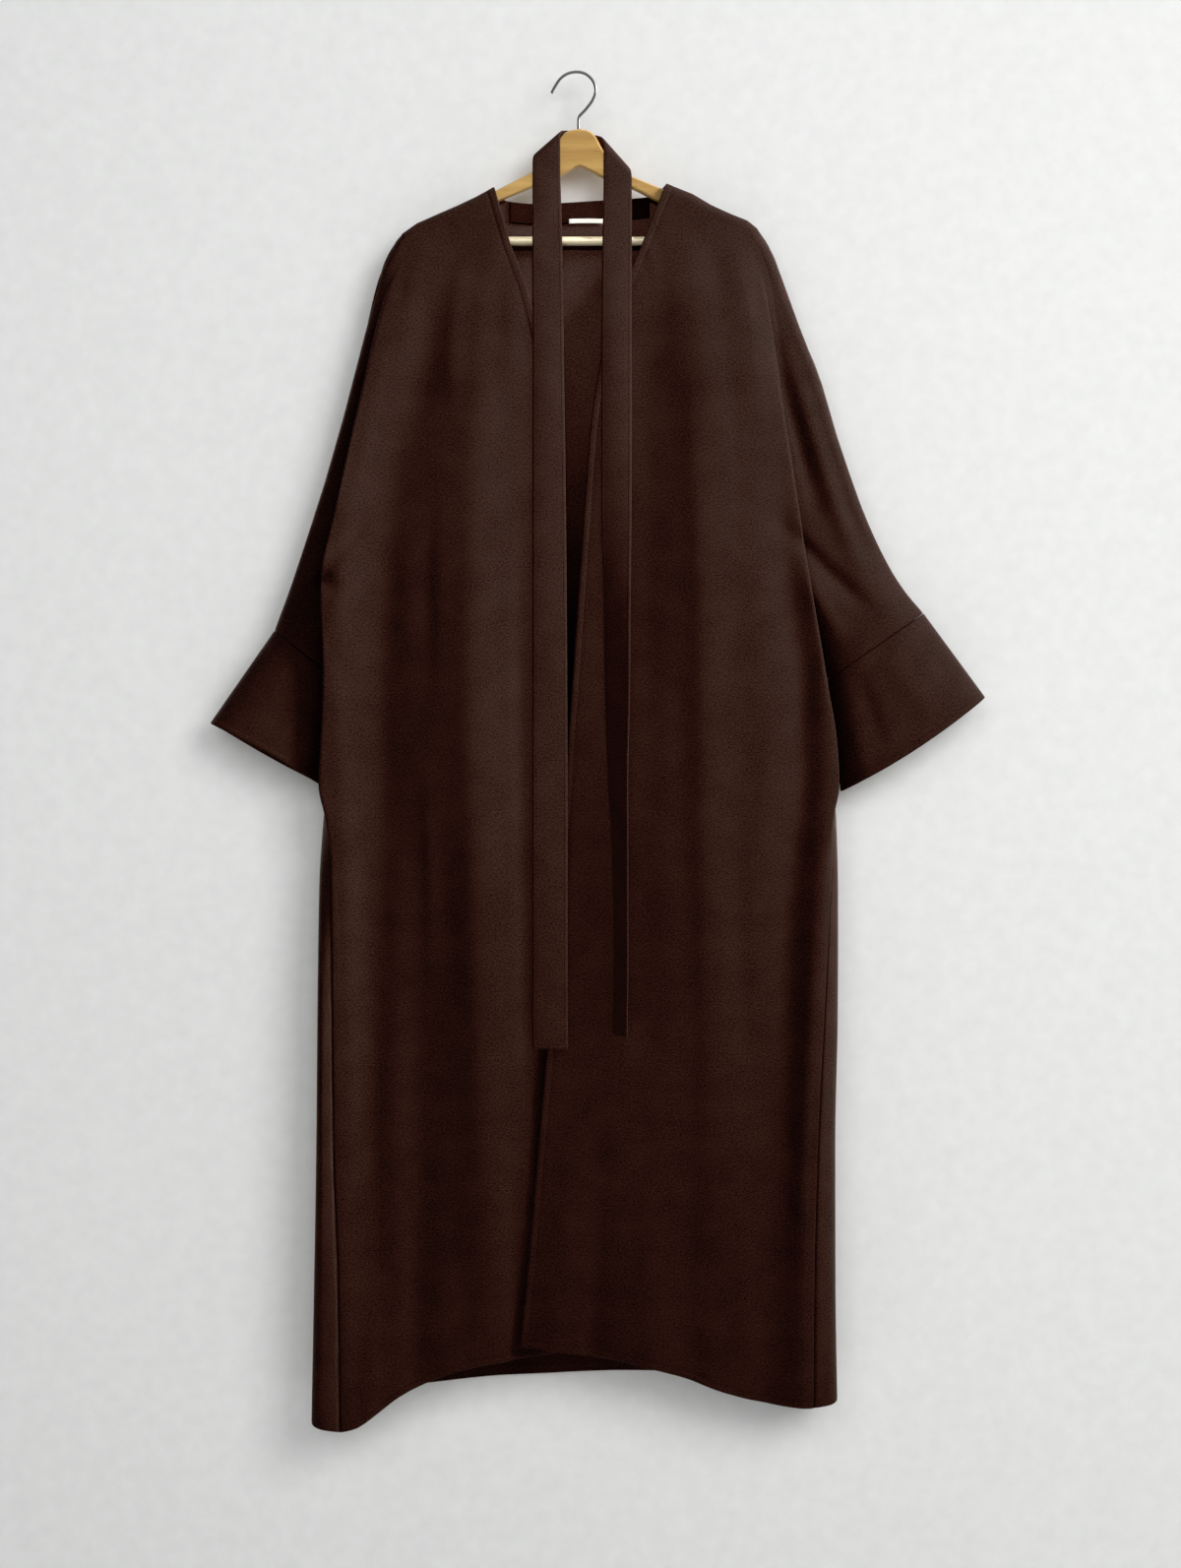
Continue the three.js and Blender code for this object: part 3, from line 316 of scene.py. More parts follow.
def mix(start: Values, end: Values, part: Values) -> Array:
    """Goes from start to end by part.

    Args:
        start, end: values at part 0 and 1.
        part: how far along.

    Returns:
        start + (end - start) * part.
    """
    return start + (end - start) * part


def ease(part: Values) -> Array:
    """Soft step from 0 to 1: three times the square less twice the cube, held at both ends.

    Args:
        part: how far along, any number.

    Returns:
        A share from 0 to 1.
    """
    held = np.clip(part, 0.0, 1.0)
    return held * held * (3.0 - 2.0 * held)


def round_top(distance: Array, radius: float) -> Array:
    """Height of a quarter circle that starts upright at distance 0 and is level from radius on.

    Args:
        distance: distance from the edge.
        radius: size of the round.

    Returns:
        A share from 0 to 1.
    """
    part = 1.0 - np.clip(distance / radius, 0.0, 1.0)
    return np.sqrt(np.maximum(0.0, 1.0 - part * part))


def corner_point(
    before: Section, corner: Section,
    after: Section, radius: float, part: Array,
) -> Section:
    """Places points on the round between two straight parts that meet at a corner.

    The round is a quadratic curve that leaves each straight part at the radius, or at 0.45 of its
    length where that is shorter.

    Args:
        before, corner, after: the three corners, each as out and depth.
        radius: how far from the corner the round starts.
        part: how far round.

    Returns:
        Out and depth of the points.
    """
    in_length = np.hypot(corner[0] - before[0], corner[1] - before[1])
    out_length = np.hypot(after[0] - corner[0], after[1] - corner[1])
    in_part = np.minimum(radius, in_length * 0.45) / in_length
    out_part = np.minimum(radius, out_length * 0.45) / out_length
    result = []
    for axis in (0, 1):
        start = mix(corner[axis], before[axis], in_part)
        end = mix(corner[axis], after[axis], out_part)
        result.append(mix(mix(start, corner[axis], part), mix(corner[axis], end, part), part))
    return result[0], result[1]


def shoulder_z(side: Side, out: Values) -> Array:
    """Level of the shoulder line.

    Args:
        side: the side of the coat.
        out: distance from the middle.

    Returns:
        The level.
    """
    return smooth_at(side.shoulder, out)


def edge_distance(side: Side, out: Array, z: Array) -> Array:
    """Distance from the line that runs along the shoulder and the overarm.

    Args:
        side: the side of the coat.
        out, z: the places, as out and level.

    Returns:
        The distance to the nearest of the line's straight parts.
    """
    line = [tuple(point) for point in side.shoulder] + [(row[1], row[0]) for row in side.overarm[1:]]
    best = np.full(np.shape(out), np.inf)
    for (ax, az), (bx, bz) in zip(line[:-1], line[1:]):
        square = (bx - ax) ** 2 + (bz - az) ** 2
        along = np.clip(((out - ax) * (bx - ax) + (z - az) * (bz - az)) / square, 0.0, 1.0)
        best = np.minimum(best, np.hypot(out - mix(ax, bx, along), z - mix(az, bz, along)))
    return best


def seat_upper(side: Side, out: Array, y: Array, z: Array, facing: int) -> Array:
    """Depth of a layer above the underarm, rounded over the shoulder.

    The depth grows from the round over the shoulder to the section's own value lower down, and
    never crosses the plane of the seam.

    Args:
        side: the side of the coat.
        out, y, z: the section's points.
        facing: -1 in front, 1 behind.

    Returns:
        The depth as Y.
    """
    top = shoulder_z(side, np.clip(out, side.shoulder[0][0], side.shoulder[-1][0]))
    depth = mix(SHOULDER_ROUND, np.abs(y), ease((top - z) / SHOULDER_EASE))
    return facing * np.maximum(HALF_GAP, depth * round_top(edge_distance(side, out, z), SHOULDER_ROUND))


class Run(Enum):
    """The parts of a section that a column of points can lie on."""

    LAYER = "layer"
    REACH = "reach"
    FOLD = "fold"
    WRAP = "wrap"
    PLEAT = "pleat"
    FLAP = "flap"
    SEAM = "seam"
    SLEEVE = "sleeve"
    START = "start"


@dataclass(frozen=True)
class Columns:
    """The columns of a panel, in order: which run of the section each lies on, and its share of it.

    Args:
        runs: the run of each column.
        shares: the share of each column, from 0 to 1.
    """

    runs: tuple[Run, ...]
    shares: tuple[float, ...]

    @staticmethod
    def of(*parts: tuple[Run, Sequence[float]]) -> "Columns":
        """Joins runs and their shares.

        Args:
            parts: pairs of a run and its shares.

        Returns:
            The columns.
        """
        runs: list[Run] = []
        shares: list[float] = []
        for run, values in parts:
            runs += [run] * len(values)
            shares += [float(value) for value in values]
        return Columns(tuple(runs), tuple(shares))

    def with_sleeve(self) -> Columns:
        """Gives the same columns with the sleeve's after them."""
        return Columns(self.runs + (Run.SLEEVE,) * len(SLEEVE_SHARES), self.shares + SLEEVE_SHARES)

    def mask(self, run: Run) -> Array:
        """Marks the columns on one run."""
        return np.array([one is run for one in self.runs])

    def __len__(self) -> int:
        """Counts the columns."""
        return len(self.runs)


def front_body(side: Side, z: Array, columns: Columns) -> Section:
    """Front layer from the front edge to the side seam.

    Args:
        side: the side of the coat.
        z: level of each point, in the panel's columns.
        columns: the panel's columns.

    Returns:
        Out and Y of the points.
    """
    read = lambda column: smooth_at(side.front, z, column)
    edge = read(1)
    fold = (read(7), -read(8))
    pleat = (read(9), -read(10))
    seam = (read(11), -read(12))
    share = np.broadcast_to(np.array(columns.shares), z.shape)
    knots = (0.0, 0.2, 0.45, 0.7, 0.88, 1.0)
    depths = [-read(column) for column in (2, 3, 4, 5, 6)] + [fold[1]]
    layer_y = blend_knots(knots, depths, np.clip(share, 0.0, 1.0))
    layer = (mix(edge, fold[0], share), layer_y)
    last_share = np.full(z.shape, 0.88)
    last = (mix(edge, fold[0], last_share), blend_knots(knots, depths, last_share))
    bent = bent_line((last, fold, pleat, seam), (FOLD_ROUND, PLEAT_ROUND), share)
    runs = (Run.LAYER, Run.REACH, Run.FOLD, Run.WRAP, Run.PLEAT, Run.FLAP)
    return lay_runs(columns, seam, dict(zip(runs, [layer, *bent])))


def between(
    start: Section, end: Section, part: Array
) -> Section:
    """Points on the straight part between two places of a section.

    Args:
        start, end: the places, each as out and depth.
        part: how far along.

    Returns:
        Out and depth of the points.
    """
    return mix(start[0], end[0], part), mix(start[1], end[1], part)


def bent_line(stops: Sequence[Section], radii: Pair, share: Array) -> list[Section]:
    """Runs of a line with two rounded corners: straight, round, straight, round, straight.

    Args:
        stops: its start, its two corners and its end, each as out and depth.
        radii: how far from each corner its round starts.
        share: how far along its run each point lies.

    Returns:
        Out and depth of the points on each of the five runs.
    """
    parts = (0.0 * share, share, 0.0 * share + 1.0)
    first, second = ([corner_point(*stops[k : k + 3], radii[k], part) for part in parts] for k in (0, 1))
    return [
        between(stops[0], first[0], share), first[1], between(first[2], second[0], share), second[1],
        between(second[2], stops[3], share),
    ]


def lay_runs(columns: Columns, seam: Section, runs: dict[Run, Section]) -> Section:
    """Puts the points of each run in its own columns, and the seam in the rest.

    Args:
        columns: the panel's columns.
        seam: the seam's place.
        runs: out and Y of every point for each run.

    Returns:
        Out and Y of the points.
    """
    out, y = np.array(seam[0]), np.array(seam[1])
    for run, place in runs.items():
        chosen = columns.mask(run)
        out[:, chosen] = place[0][:, chosen]
        y[:, chosen] = place[1][:, chosen]
    return out, y


def blend_knots(knots: Sequence[float], values: Sequence[Array], at: Array) -> Array:
    """Smooth line through knots whose values differ from point to point.

    The line is the same kind as smooth_at's: a cubic whose slope at a knot is the harmonic mean of
    the slopes on both sides.

    Args:
        knots: places of the knots, rising.
        values: one array of values for each knot.
        at: where to read, in the arrays' shape.

    Returns:
        The values.
    """
    rows = range(len(knots) - 1)
    slopes = [(values[row + 1] - values[row]) / (knots[row + 1] - knots[row]) for row in rows]
    tangents = [slopes[0], *(knot_slope(*pair) for pair in zip(slopes[:-1], slopes[1:])), slopes[-1]]
    result = np.array(values[0], dtype=float) + np.zeros(at.shape)
    for row in rows:
        span = knots[row + 1] - knots[row]
        part = np.clip((at - knots[row]) / span, 0.0, 1.0)
        line = cubic(part, span, values[row : row + 2], tangents[row : row + 2])
        result = np.where(at >= knots[row], line, result)
    return result


def seam_depth(side: Side, z: Array) -> Array:
    """Depth of the side seam, drawn in to nothing at the underarm.

    Args:
        side: the side of the coat.
        z: levels.

    Returns:
        How far forward the seam lies.
    """
    return smooth_at(side.front, z, SEAM_Y) * ease((UNDERARM_Z - z) / SEAM_EASE)


def back_body(side: Side, z: Array, columns: Columns) -> Section:
    """Back layer from the flat back to the side seam.

    Args:
        side: the side of the coat.
        z: level of each point.
        columns: the panel's columns on this side.

    Returns:
        Out and Y of the points.
    """
    read = lambda column: smooth_at(side.back, z, column)
    depth = smooth_at(side.front, z, SEAM_Y)
    below = ease((UNDERARM_Z - z) / SEAM_EASE)
    seam = (smooth_at(side.front, z, SEAM_OUT), mix(depth, -depth, below))
    corner = (read(1), read(2))
    fold = (read(3), read(4))
    start = (read(5), read(6))
    share = np.broadcast_to(np.array(columns.shares), z.shape)
    bent = bent_line((seam, corner, fold, start), (SIDE_ROUND, SIDE_ROUND), share)
    return lay_runs(columns, seam, dict(zip((Run.FLAP, Run.PLEAT, Run.WRAP, Run.FOLD, Run.START), bent)))


def sleeve_layer(z: Values, share: Array, inner: Values, facing: int) -> Array:
    """Depth of a sleeve layer above the underarm, from the pleat out to the overarm line.

    Args:
        z: levels.
        share: share of the way out.
        inner: depth at the seam.
        facing: -1 in front, 1 behind.

    Returns:
        The depth, always positive.
    """
    rest = mix(10.0, 12.0 if facing < 0 else 10.0, ease((-200.0 - z) / 200.0))
    return mix(inner, rest, np.clip(share / 0.3, 0.0, 1.0))


def upper_section(side: Side, z: Array, columns: Columns, facing: int) -> Section:
    """Section of a panel above the underarm, from its middle out to the overarm line.

    Args:
        side: the side of the coat.
        z: level of each point.
        columns: the panel's columns on this side.
        facing: -1 in front, 1 behind.

    Returns:
        Out and Y of the points, before they are seated over the shoulder.
    """
    body = front_body if facing < 0 else back_body
    out, y = body(side, z, columns)
    sleeve = columns.mask(Run.SLEEVE)
    if sleeve.any():
        share = np.broadcast_to(np.array(columns.shares), z.shape)[:, sleeve]
        level = z[:, sleeve]
        seam_out = smooth_at(side.front, level, SEAM_OUT)
        depth = smooth_at(side.front, level, SEAM_Y)
        if facing > 0:
            depth = np.abs(mix(depth, -depth, ease((UNDERARM_Z - level) / SEAM_EASE)))
        out[:, sleeve] = mix(seam_out, smooth_at(side.overarm, level), share)
        y[:, sleeve] = facing * sleeve_layer(level, share, depth, facing)
    return out, y


def sleeve_point(side: Side, down: Array, share: Array, facing: int) -> tuple[Array, ...]:
    """Points of a sleeve below the underarm.

    A row's two ends run down the overarm and the underarm. The layer's depth goes from the pressed
    shape at the underarm to a lens: the root of one less the 2.6th power of the distance from the
    middle.

    Args:
        side: the side of the coat.
        down: share of the way down the sleeve.
        share: share of the way out.
        facing: -1 in front, 1 behind.

    Returns:
        Out, Y and Z.
    """
    end_z, heel_z = side.overarm[-1][0], side.underarm[-1][0]
    outer_z = mix(UNDERARM_Z, end_z, down)
    inner_z = mix(UNDERARM_Z, heel_z, down)
    outer = smooth_at(side.overarm, outer_z)
    inner = smooth_at(side.underarm, inner_z)
    width = np.hypot(outer - inner, outer_z - inner_z)
    full = smooth_at(SLEEVE_DEPTH, down, 1 if facing < 0 else 2)
    lens = full * np.sqrt(np.maximum(0.0, 1.0 - np.abs(2 * share - 1) ** LENS_POWER))
    pressed = sleeve_layer(UNDERARM_Z, share, 1.1, facing) * round_top((1 - share) * width, SHOULDER_ROUND)
    depth = mix(pressed, lens, ease(down / 0.4))
    return (mix(inner, outer, share), facing * np.maximum(HALF_GAP, depth), mix(inner_z, outer_z, share))


def seam_direction(side: Side, z: Array) -> Section:
    """Direction of the cloth across the side seam, from the front to the back.

    Args:
        side: the side of the coat.
        z: levels.

    Returns:
        Out and Y of the direction, of length 1.
    """
    out = smooth_at(side.back, z, CORNER_OUT) - smooth_at(side.front, z, PLEAT_OUT)
    back = smooth_at(side.back, z, CORNER_Y) + smooth_at(side.front, z, PLEAT_Y)
    length = np.hypot(out, back)
    return out / length, back / length


class Net:
    """A thick sheet made from a net of points on its middle surface.

    Args:
        thickness: the sheet's thickness.
    """

    def __init__(self, thickness: float) -> None:
        """Starts an empty sheet."""
        self.half = thickness / 2
        self.points: list[Array] = []
        self.edges: list[Array] = []
        self.quads: list[Array] = []
        self.grain: list[Array] = []
        self.count = 0
        self.pinned: list[Section] = []
        self.flat: list[Array] = []
        self.butted: list[Array] = []

    def add(self, x: Array, y: Array, z: Array, edge: Values) -> Array:
        """Adds points.

        Args:
            x, y, z: the places, in arrays of one shape.
            edge: distance from the nearest free edge, along the cloth.

        Returns:
            The points' numbers, in the arrays' shape.
        """
        shape = np.shape(x)
        self.points.append(np.stack([np.ravel(x), np.ravel(y), np.ravel(z)], axis=1))
        self.edges.append(np.ravel(np.broadcast_to(edge, shape)).astype(float))
        numbers = np.arange(self.count, self.count + int(np.prod(shape))).reshape(shape)
        self.count += numbers.size
        return numbers

    def net(self, numbers: Array, u: Array, v: Array, flip: bool) -> None:
        """Joins rows of points into four-sided faces.

        Args:
            numbers: the points' numbers, row by row.
            u, v: the cloth's own coordinates at each point, across and along the grain.
            flip: whether the outer face looks the other way.
        """
        corners = [(slice(None, -1), slice(None, -1)), (slice(None, -1), slice(1, None))]
        corners += [(slice(1, None), slice(1, None)), (slice(1, None), slice(None, -1))]
        if flip:
            corners = corners[::-1]
        self.quads.append(np.stack([numbers[part].ravel() for part in corners], axis=1))
        grain = [np.stack([u[part].ravel(), v[part].ravel()], axis=1) for part in corners]
        self.grain.append(np.stack(grain, axis=1))

    def pin(self, numbers: Array, x: Array, y: Array, z: Array) -> None:
        """Holds the sheet's square direction at some points.

        Args:
            numbers: the points' numbers.
            x, y, z: the direction at each.
        """
        numbers = np.atleast_1d(numbers)
        direction = np.stack([np.broadcast_to(part, numbers.shape) for part in (x, y, z)], axis=-1)
        self.pinned.append((numbers.ravel(), direction.reshape(-1, 3)))

    def flatten(self, numbers: Array) -> None:
        """Keeps the square direction at some points free of depth, where they butt another sheet."""
        self.flat.append(np.ravel(numbers))

    def butt(self, numbers: Array) -> None:
        """Marks edge points that lie against another sheet, so that their wall stays straight."""
        self.butted.append(np.ravel(numbers))

    def squares(self, points: Array, quads: Array) -> Array:
        """Works out the sheet's square direction at each point.

        It is the sum of the faces' own, each as long as its area, with the held ones put in.

        Args:
            points, quads: the middle surface.

        Returns:
            One direction of length 1 for each point.
        """
        first = points[quads[:, 2]] - points[quads[:, 0]]
        second = points[quads[:, 3]] - points[quads[:, 1]]
        square = np.cross(first, second)
        total = np.zeros_like(points)
        for corner in range(4):
            np.add.at(total, quads[:, corner], square)
        if self.flat:
            total[np.concatenate(self.flat), 1] = 0.0
        for numbers, direction in self.pinned:
            total[numbers] = direction
        return total / np.maximum(np.linalg.norm(total, axis=1, keepdims=True), 1e-9)

    def area(self) -> float:
        """Area of the middle surface.

        Returns:
            The area in square millimetres.
        """
        points = np.concatenate(self.points)
        quads = np.concatenate(self.quads)
        first = points[quads[:, 2]] - points[quads[:, 0]]
        second = points[quads[:, 3]] - points[quads[:, 1]]
        return float(np.linalg.norm(np.cross(first, second), axis=1).sum() / 2)

    def build(self, name: str, slot: str, node: str, finish: Material) -> Piece:
        """Makes the sheet's mesh: both faces, and a rounded wall round each free edge.

        Args:
            name: the piece's name.
            slot: the record's material slot; not used.
            node: the node it stands for.
            finish: the piece's material.

        Returns:
            The object.
        """
        points = np.concatenate(self.points)
        quads = np.concatenate(self.quads)
        grain = np.concatenate(self.grain)
        edge = np.concatenate(self.edges)
        squares = self.squares(points, quads)
        count = self.count
        starts = quads.ravel()
        ends = np.roll(quads, -1, axis=1).ravel()
        forward = starts * count + ends
        backward = ends * count + starts
        open_sides = ~np.isin(forward, backward)
        starts, ends = starts[open_sides], ends[open_sides]
        side_grain = np.stack([grain.reshape(-1, 2), np.roll(grain, -1, axis=1).reshape(-1, 2)], axis=1)
        side_grain = side_grain[open_sides]
        # the wall's middle line stands a little outside the edge, square to it within the sheet
        outward = np.zeros_like(points)
        along = points[ends] - points[starts]
        np.add.at(outward, starts, np.cross(along, squares[starts]))
        np.add.at(outward, ends, np.cross(along, squares[ends]))
        outward /= np.maximum(np.linalg.norm(outward, axis=1, keepdims=True), 1e-9)
        rim = np.unique(np.concatenate([starts, ends]))
        butted = np.zeros(count, dtype=bool)
        if self.butted:
            butted[np.concatenate(self.butted)] = True
        lift = np.full(count, self.half)
        lift[rim] = np.where(butted[rim], self.half * 0.62, self.half * 0.8)
        bulge = np.where(butted, 0.0, self.half * 0.55)
        ring = np.full(count, -1)
        ring[rim] = np.arange(len(rim)) + 2 * count
        middle = points[rim] + outward[rim] * bulge[rim, None]
        places = np.concatenate([points + squares * lift[:, None], points - squares * lift[:, None], middle])
        inner = quads[:, ::-1] + count
        upper_wall = np.stack([ends, starts, ring[starts], ring[ends]], axis=1)
        lower_wall = np.stack([ring[ends], ring[starts], starts + count, ends + count], axis=1)
        faces = np.concatenate([quads, inner, upper_wall, lower_wall])
        wall_grain = side_grain[:, [1, 0, 0, 1]]
        uv = np.concatenate([grain, grain[:, ::-1], wall_grain, wall_grain])
        values = np.concatenate([edge, edge, edge[rim]])
        piece = make_mesh(name, places, faces, uv, values, finish)
        LOG.info("%s: area %.5f square metres", name, self.area() / 1e6)
        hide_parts(node)
        return piece


def add_piece(mesh: bpy.types.Mesh, finish: Material) -> Piece:
    """Puts a mesh in the scene as a piece that rides on the root body.

    Args:
        mesh: the mesh, which has the piece's name.
        finish: the piece's material.

    Returns:
        The piece.
    """
    mesh.materials.append(finish)
    piece = bpy.data.objects.new(mesh.name, mesh)
    bpy.context.scene.collection.objects.link(piece)
    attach(piece, "root")
    LOG.info("%s: %d points, %d faces", piece.name, len(mesh.vertices), len(mesh.polygons))
    return piece


def make_mesh(
    name: str, places: Array, faces: Array, uv: Array, edge: Array,
    finish: Material,
) -> Piece:
    """Makes an object from arrays of points and four-sided faces.

    Args:
        name: the piece's name.
        places: points in millimetres.
        faces: four point numbers each.
        uv: the cloth's own coordinates at each face's corners.
        edge: distance from the nearest free edge at each point.
        finish: the piece's material.

    Returns:
        The object, riding on the root body.
    """
    mesh = bpy.data.meshes.new(name)
    mesh.vertices.add(len(places))
    mesh.vertices.foreach_set("co", (places * MM).astype(np.float32).ravel())
    mesh.loops.add(faces.size)
    mesh.loops.foreach_set("vertex_index", faces.astype(np.int32).ravel())
    mesh.polygons.add(len(faces))
    mesh.polygons.foreach_set("loop_start", np.arange(0, faces.size, 4, dtype=np.int32))
    mesh.polygons.foreach_set("loop_total", np.full(len(faces), 4, dtype=np.int32))
    layer = mesh.uv_layers.new(name="grain")
    layer.data.foreach_set("uv", (uv * MM).astype(np.float32).ravel())
    attribute = mesh.attributes.new("edge_mm", "FLOAT", "POINT")
    attribute.data.foreach_set("value", edge.astype(np.float32))
    mesh.update(calc_edges=True)
    mesh.validate()
    mesh.shade_smooth()
    return add_piece(mesh, finish)


@dataclass(frozen=True)
class Crease:
    """A soft trough or ridge pressed into a panel along a line.

    Args:
        line: places along it, as X and Z.
        depth: how far it stands out at each place; a trough is negative.
        width: distance to each side at which a third of the depth is left.
        skew: how much wider it falls off on the side at higher X than on the other.
    """

    line: tuple[Pair, ...]
    depth: tuple[float, ...]
    width: float
    skew: float = 0.0


def crease_depth(creases: Sequence[Crease], x: Array, z: Array) -> Array:
    """Adds up how far the creases of a panel stand out.

    Each falls off as a bell across its line: the exponential of minus the square of the distance
    over the width. Its depth runs smoothly from place to place along the line.

    Args:
        creases: the panel's creases.
        x, z: the places on the panel.

    Returns:
        How far the cloth stands out.
    """
    total = np.zeros(np.shape(x))
    for crease in creases:
        knots = np.arange(len(crease.line), dtype=float)
        steps = np.linspace(0.0, knots[-1], 8 * (len(knots) - 1) + 1)
        table = np.column_stack([knots, np.array(crease.line), np.array(crease.depth)])
        line_x, line_z = smooth_at(table, steps, 1), smooth_at(table, steps, 2)
        depth = smooth_at(table, steps, 3)
        reach = 3.2 * crease.width * (1.0 + abs(crease.skew))
        near = (x > line_x.min() - reach) & (x < line_x.max() + reach)
        near &= (z > line_z.min() - reach) & (z < line_z.max() + reach)
        px, pz = x[near], z[near]
        best = np.full(px.shape, np.inf)
        found = np.zeros(px.shape)
        for row in range(len(steps) - 1):
            ax, az = line_x[row], line_z[row]
            dx, dz = line_x[row + 1] - ax, line_z[row + 1] - az
            square = max(dx * dx + dz * dz, 1e-9)
            along = np.clip(((px - ax) * dx + (pz - az) * dz) / square, 0.0, 1.0)
            gap = np.hypot(px - ax - along * dx, pz - az - along * dz)
            side = np.where(px - ax - along * dx > 0, 1.0 + crease.skew, 1.0 - crease.skew)
            gap = gap / (crease.width * side)
            closer = gap < best
            best = np.where(closer, gap, best)
            found = np.where(closer, mix(depth[row], depth[row + 1], along), found)
        total[near] += found * np.exp(-best * best)
    return total


def unevenness(x: Array, z: Array, seed: int, size: float, length: float) -> Array:
    """Faint slow waves that keep a large panel from looking ruled.

    It is the mean of a few sine waves with random directions, lengths and starts.

    Args:
        x, z: the places.
        seed: picks the waves.
        size: height of the waves.
        length: their usual length.

    Returns:
        How far the cloth stands out.
    """
    dice = np.random.default_rng(seed)
    total = np.zeros(np.shape(x))
    for _ in range(9):
        turn = dice.uniform(0.0, math.pi)
        wave = length * dice.uniform(0.55, 1.7)
        start = dice.uniform(0.0, 2 * math.pi)
        total += np.sin((x * math.cos(turn) + 0.55 * z * math.sin(turn)) * 2 * math.pi / wave + start)
    return total * size / 4.0


def edge_roll(edge: Array, stitch: float) -> Array:
    """Profile of a turned and stitched edge: plump at the fold, pinched along the stitches.

    Args:
        edge: distance from the free edge.
        stitch: how far in the stitches lie.

    Returns:
        How far the outer face stands out.
    """
    plump = 0.5 * ease((stitch + 1.0 - edge) / 3.0)
    pinch = -0.4 * np.exp(-(((edge - stitch) / 1.7) ** 2))
    return plump + pinch


LEFT_FRONT_CREASES = (
    # long valley inside the side fold, nearer the fold lower down
    Crease(
        (
            (-186, -300), (-206, -400), (-222, -520), (-230, -700), (-231, -900), (-236, -1060),
            (-240, -1240), (-238, -1480),
        ),
        (0.0, -2.6, -4.6, -5.4, -5.8, -6.2, -5.6, -2.4), 28, -0.15,
    ),
    # second, shallower hollow that joins it below the hip
    Crease(((-196, -980), (-190, -1120), (-186, -1280), (-184, -1440)), (0.0, -1.8, -2.4, -0.8), 20, 0.2),
    # crest between the valley and the belt
    Crease(
        ((-112, -330), (-116, -450), (-120, -640), (-117, -840), (-112, -1040), (-106, -1240), (-104, -1440)),
        (0.0, 3.4, 5.2, 5.6, 5.2, 4.0, 2.0), 27, 0.2,
    ),
    # plump roll of the side fold
    Crease(
        ((-222, -300), (-250, -420), (-272, -560), (-276, -700), (-272, -880), (-268, -1080), (-262, -1300)),
        (0.0, 2.2, 2.6, 2.2, 2.4, 2.6, 1.2), 12, 0.1,
    ),
    # low bank that breaks the valley's far side
    Crease(((-168, -470), (-172, -620), (-170, -760)), (0.0, -2.0, 0.0), 13, -0.3),
    Crease(((-176, -800), (-170, -940), (-168, -1100)), (0.0, 1.3, 0.0), 9, 0.2),
    # pulls from the hanger's end down to the chest
    Crease(((-172, -186), (-190, -260), (-200, -340), (-214, -440)), (0.0, 1.3, 1.6, 0.0), 17, 0.2),
    Crease(((-142, -180), (-160, -256), (-176, -350), (-192, -460)), (0.0, -1.6, -2.6, 0.0), 22, -0.2),
    Crease(((-118, -182), (-140, -260), (-146, -340), (-142, -430)), (0.0, 0.7, 0.9, 0.0), 10, 0.1),
    Crease(((-100, -196), (-108, -270), (-112, -350), (-112, -420)), (0.0, 1.2, 1.6, 0.0), 18, 0.2),
    Crease(((-72, -220), (-76, -300), (-80, -400)), (0.0, 1.6, 0.0), 12),
    # hollow beside the belt
    Crease(
        ((-66, -480), (-68, -640), (-66, -860), (-62, -1080), (-58, -1240)), (0.0, -1.6, -2.2, -2.0, 0.0), 10,
        0.3,
    ),
    # short pinch where the side fold passes the armpit
    Crease(((-296, -592), (-282, -604), (-262, -612)), (-3.4, -2.6, 0.0), 7),
    Crease(((-292, -572), (-280, -580), (-264, -580)), (1.6, 1.4, 0.0), 8),
    Crease(((-294, -640), (-276, -690), (-262, -760)), (0.0, -1.6, 0.0), 10, 0.3),
    # low waves toward the hem
    Crease(((-44, -1180), (-40, -1300), (-34, -1470)), (0.0, 2.0, 3.2), 18),
    Crease(((-74, -1210), (-72, -1340), (-70, -1500)), (0.0, -2.2, -3.6), 14, 0.2),
    Crease(((-160, -1200), (-156, -1340), (-150, -1500)), (0.0, 1.2, 2.6), 18),
    Crease(((-188, -1290), (-188, -1400), (-188, -1520)), (0.0, -1.2, -2.4), 12),
    Crease(((-236, -1300), (-236, -1420), (-238, -1545)), (0.0, 1.6, 2.8), 13),
)
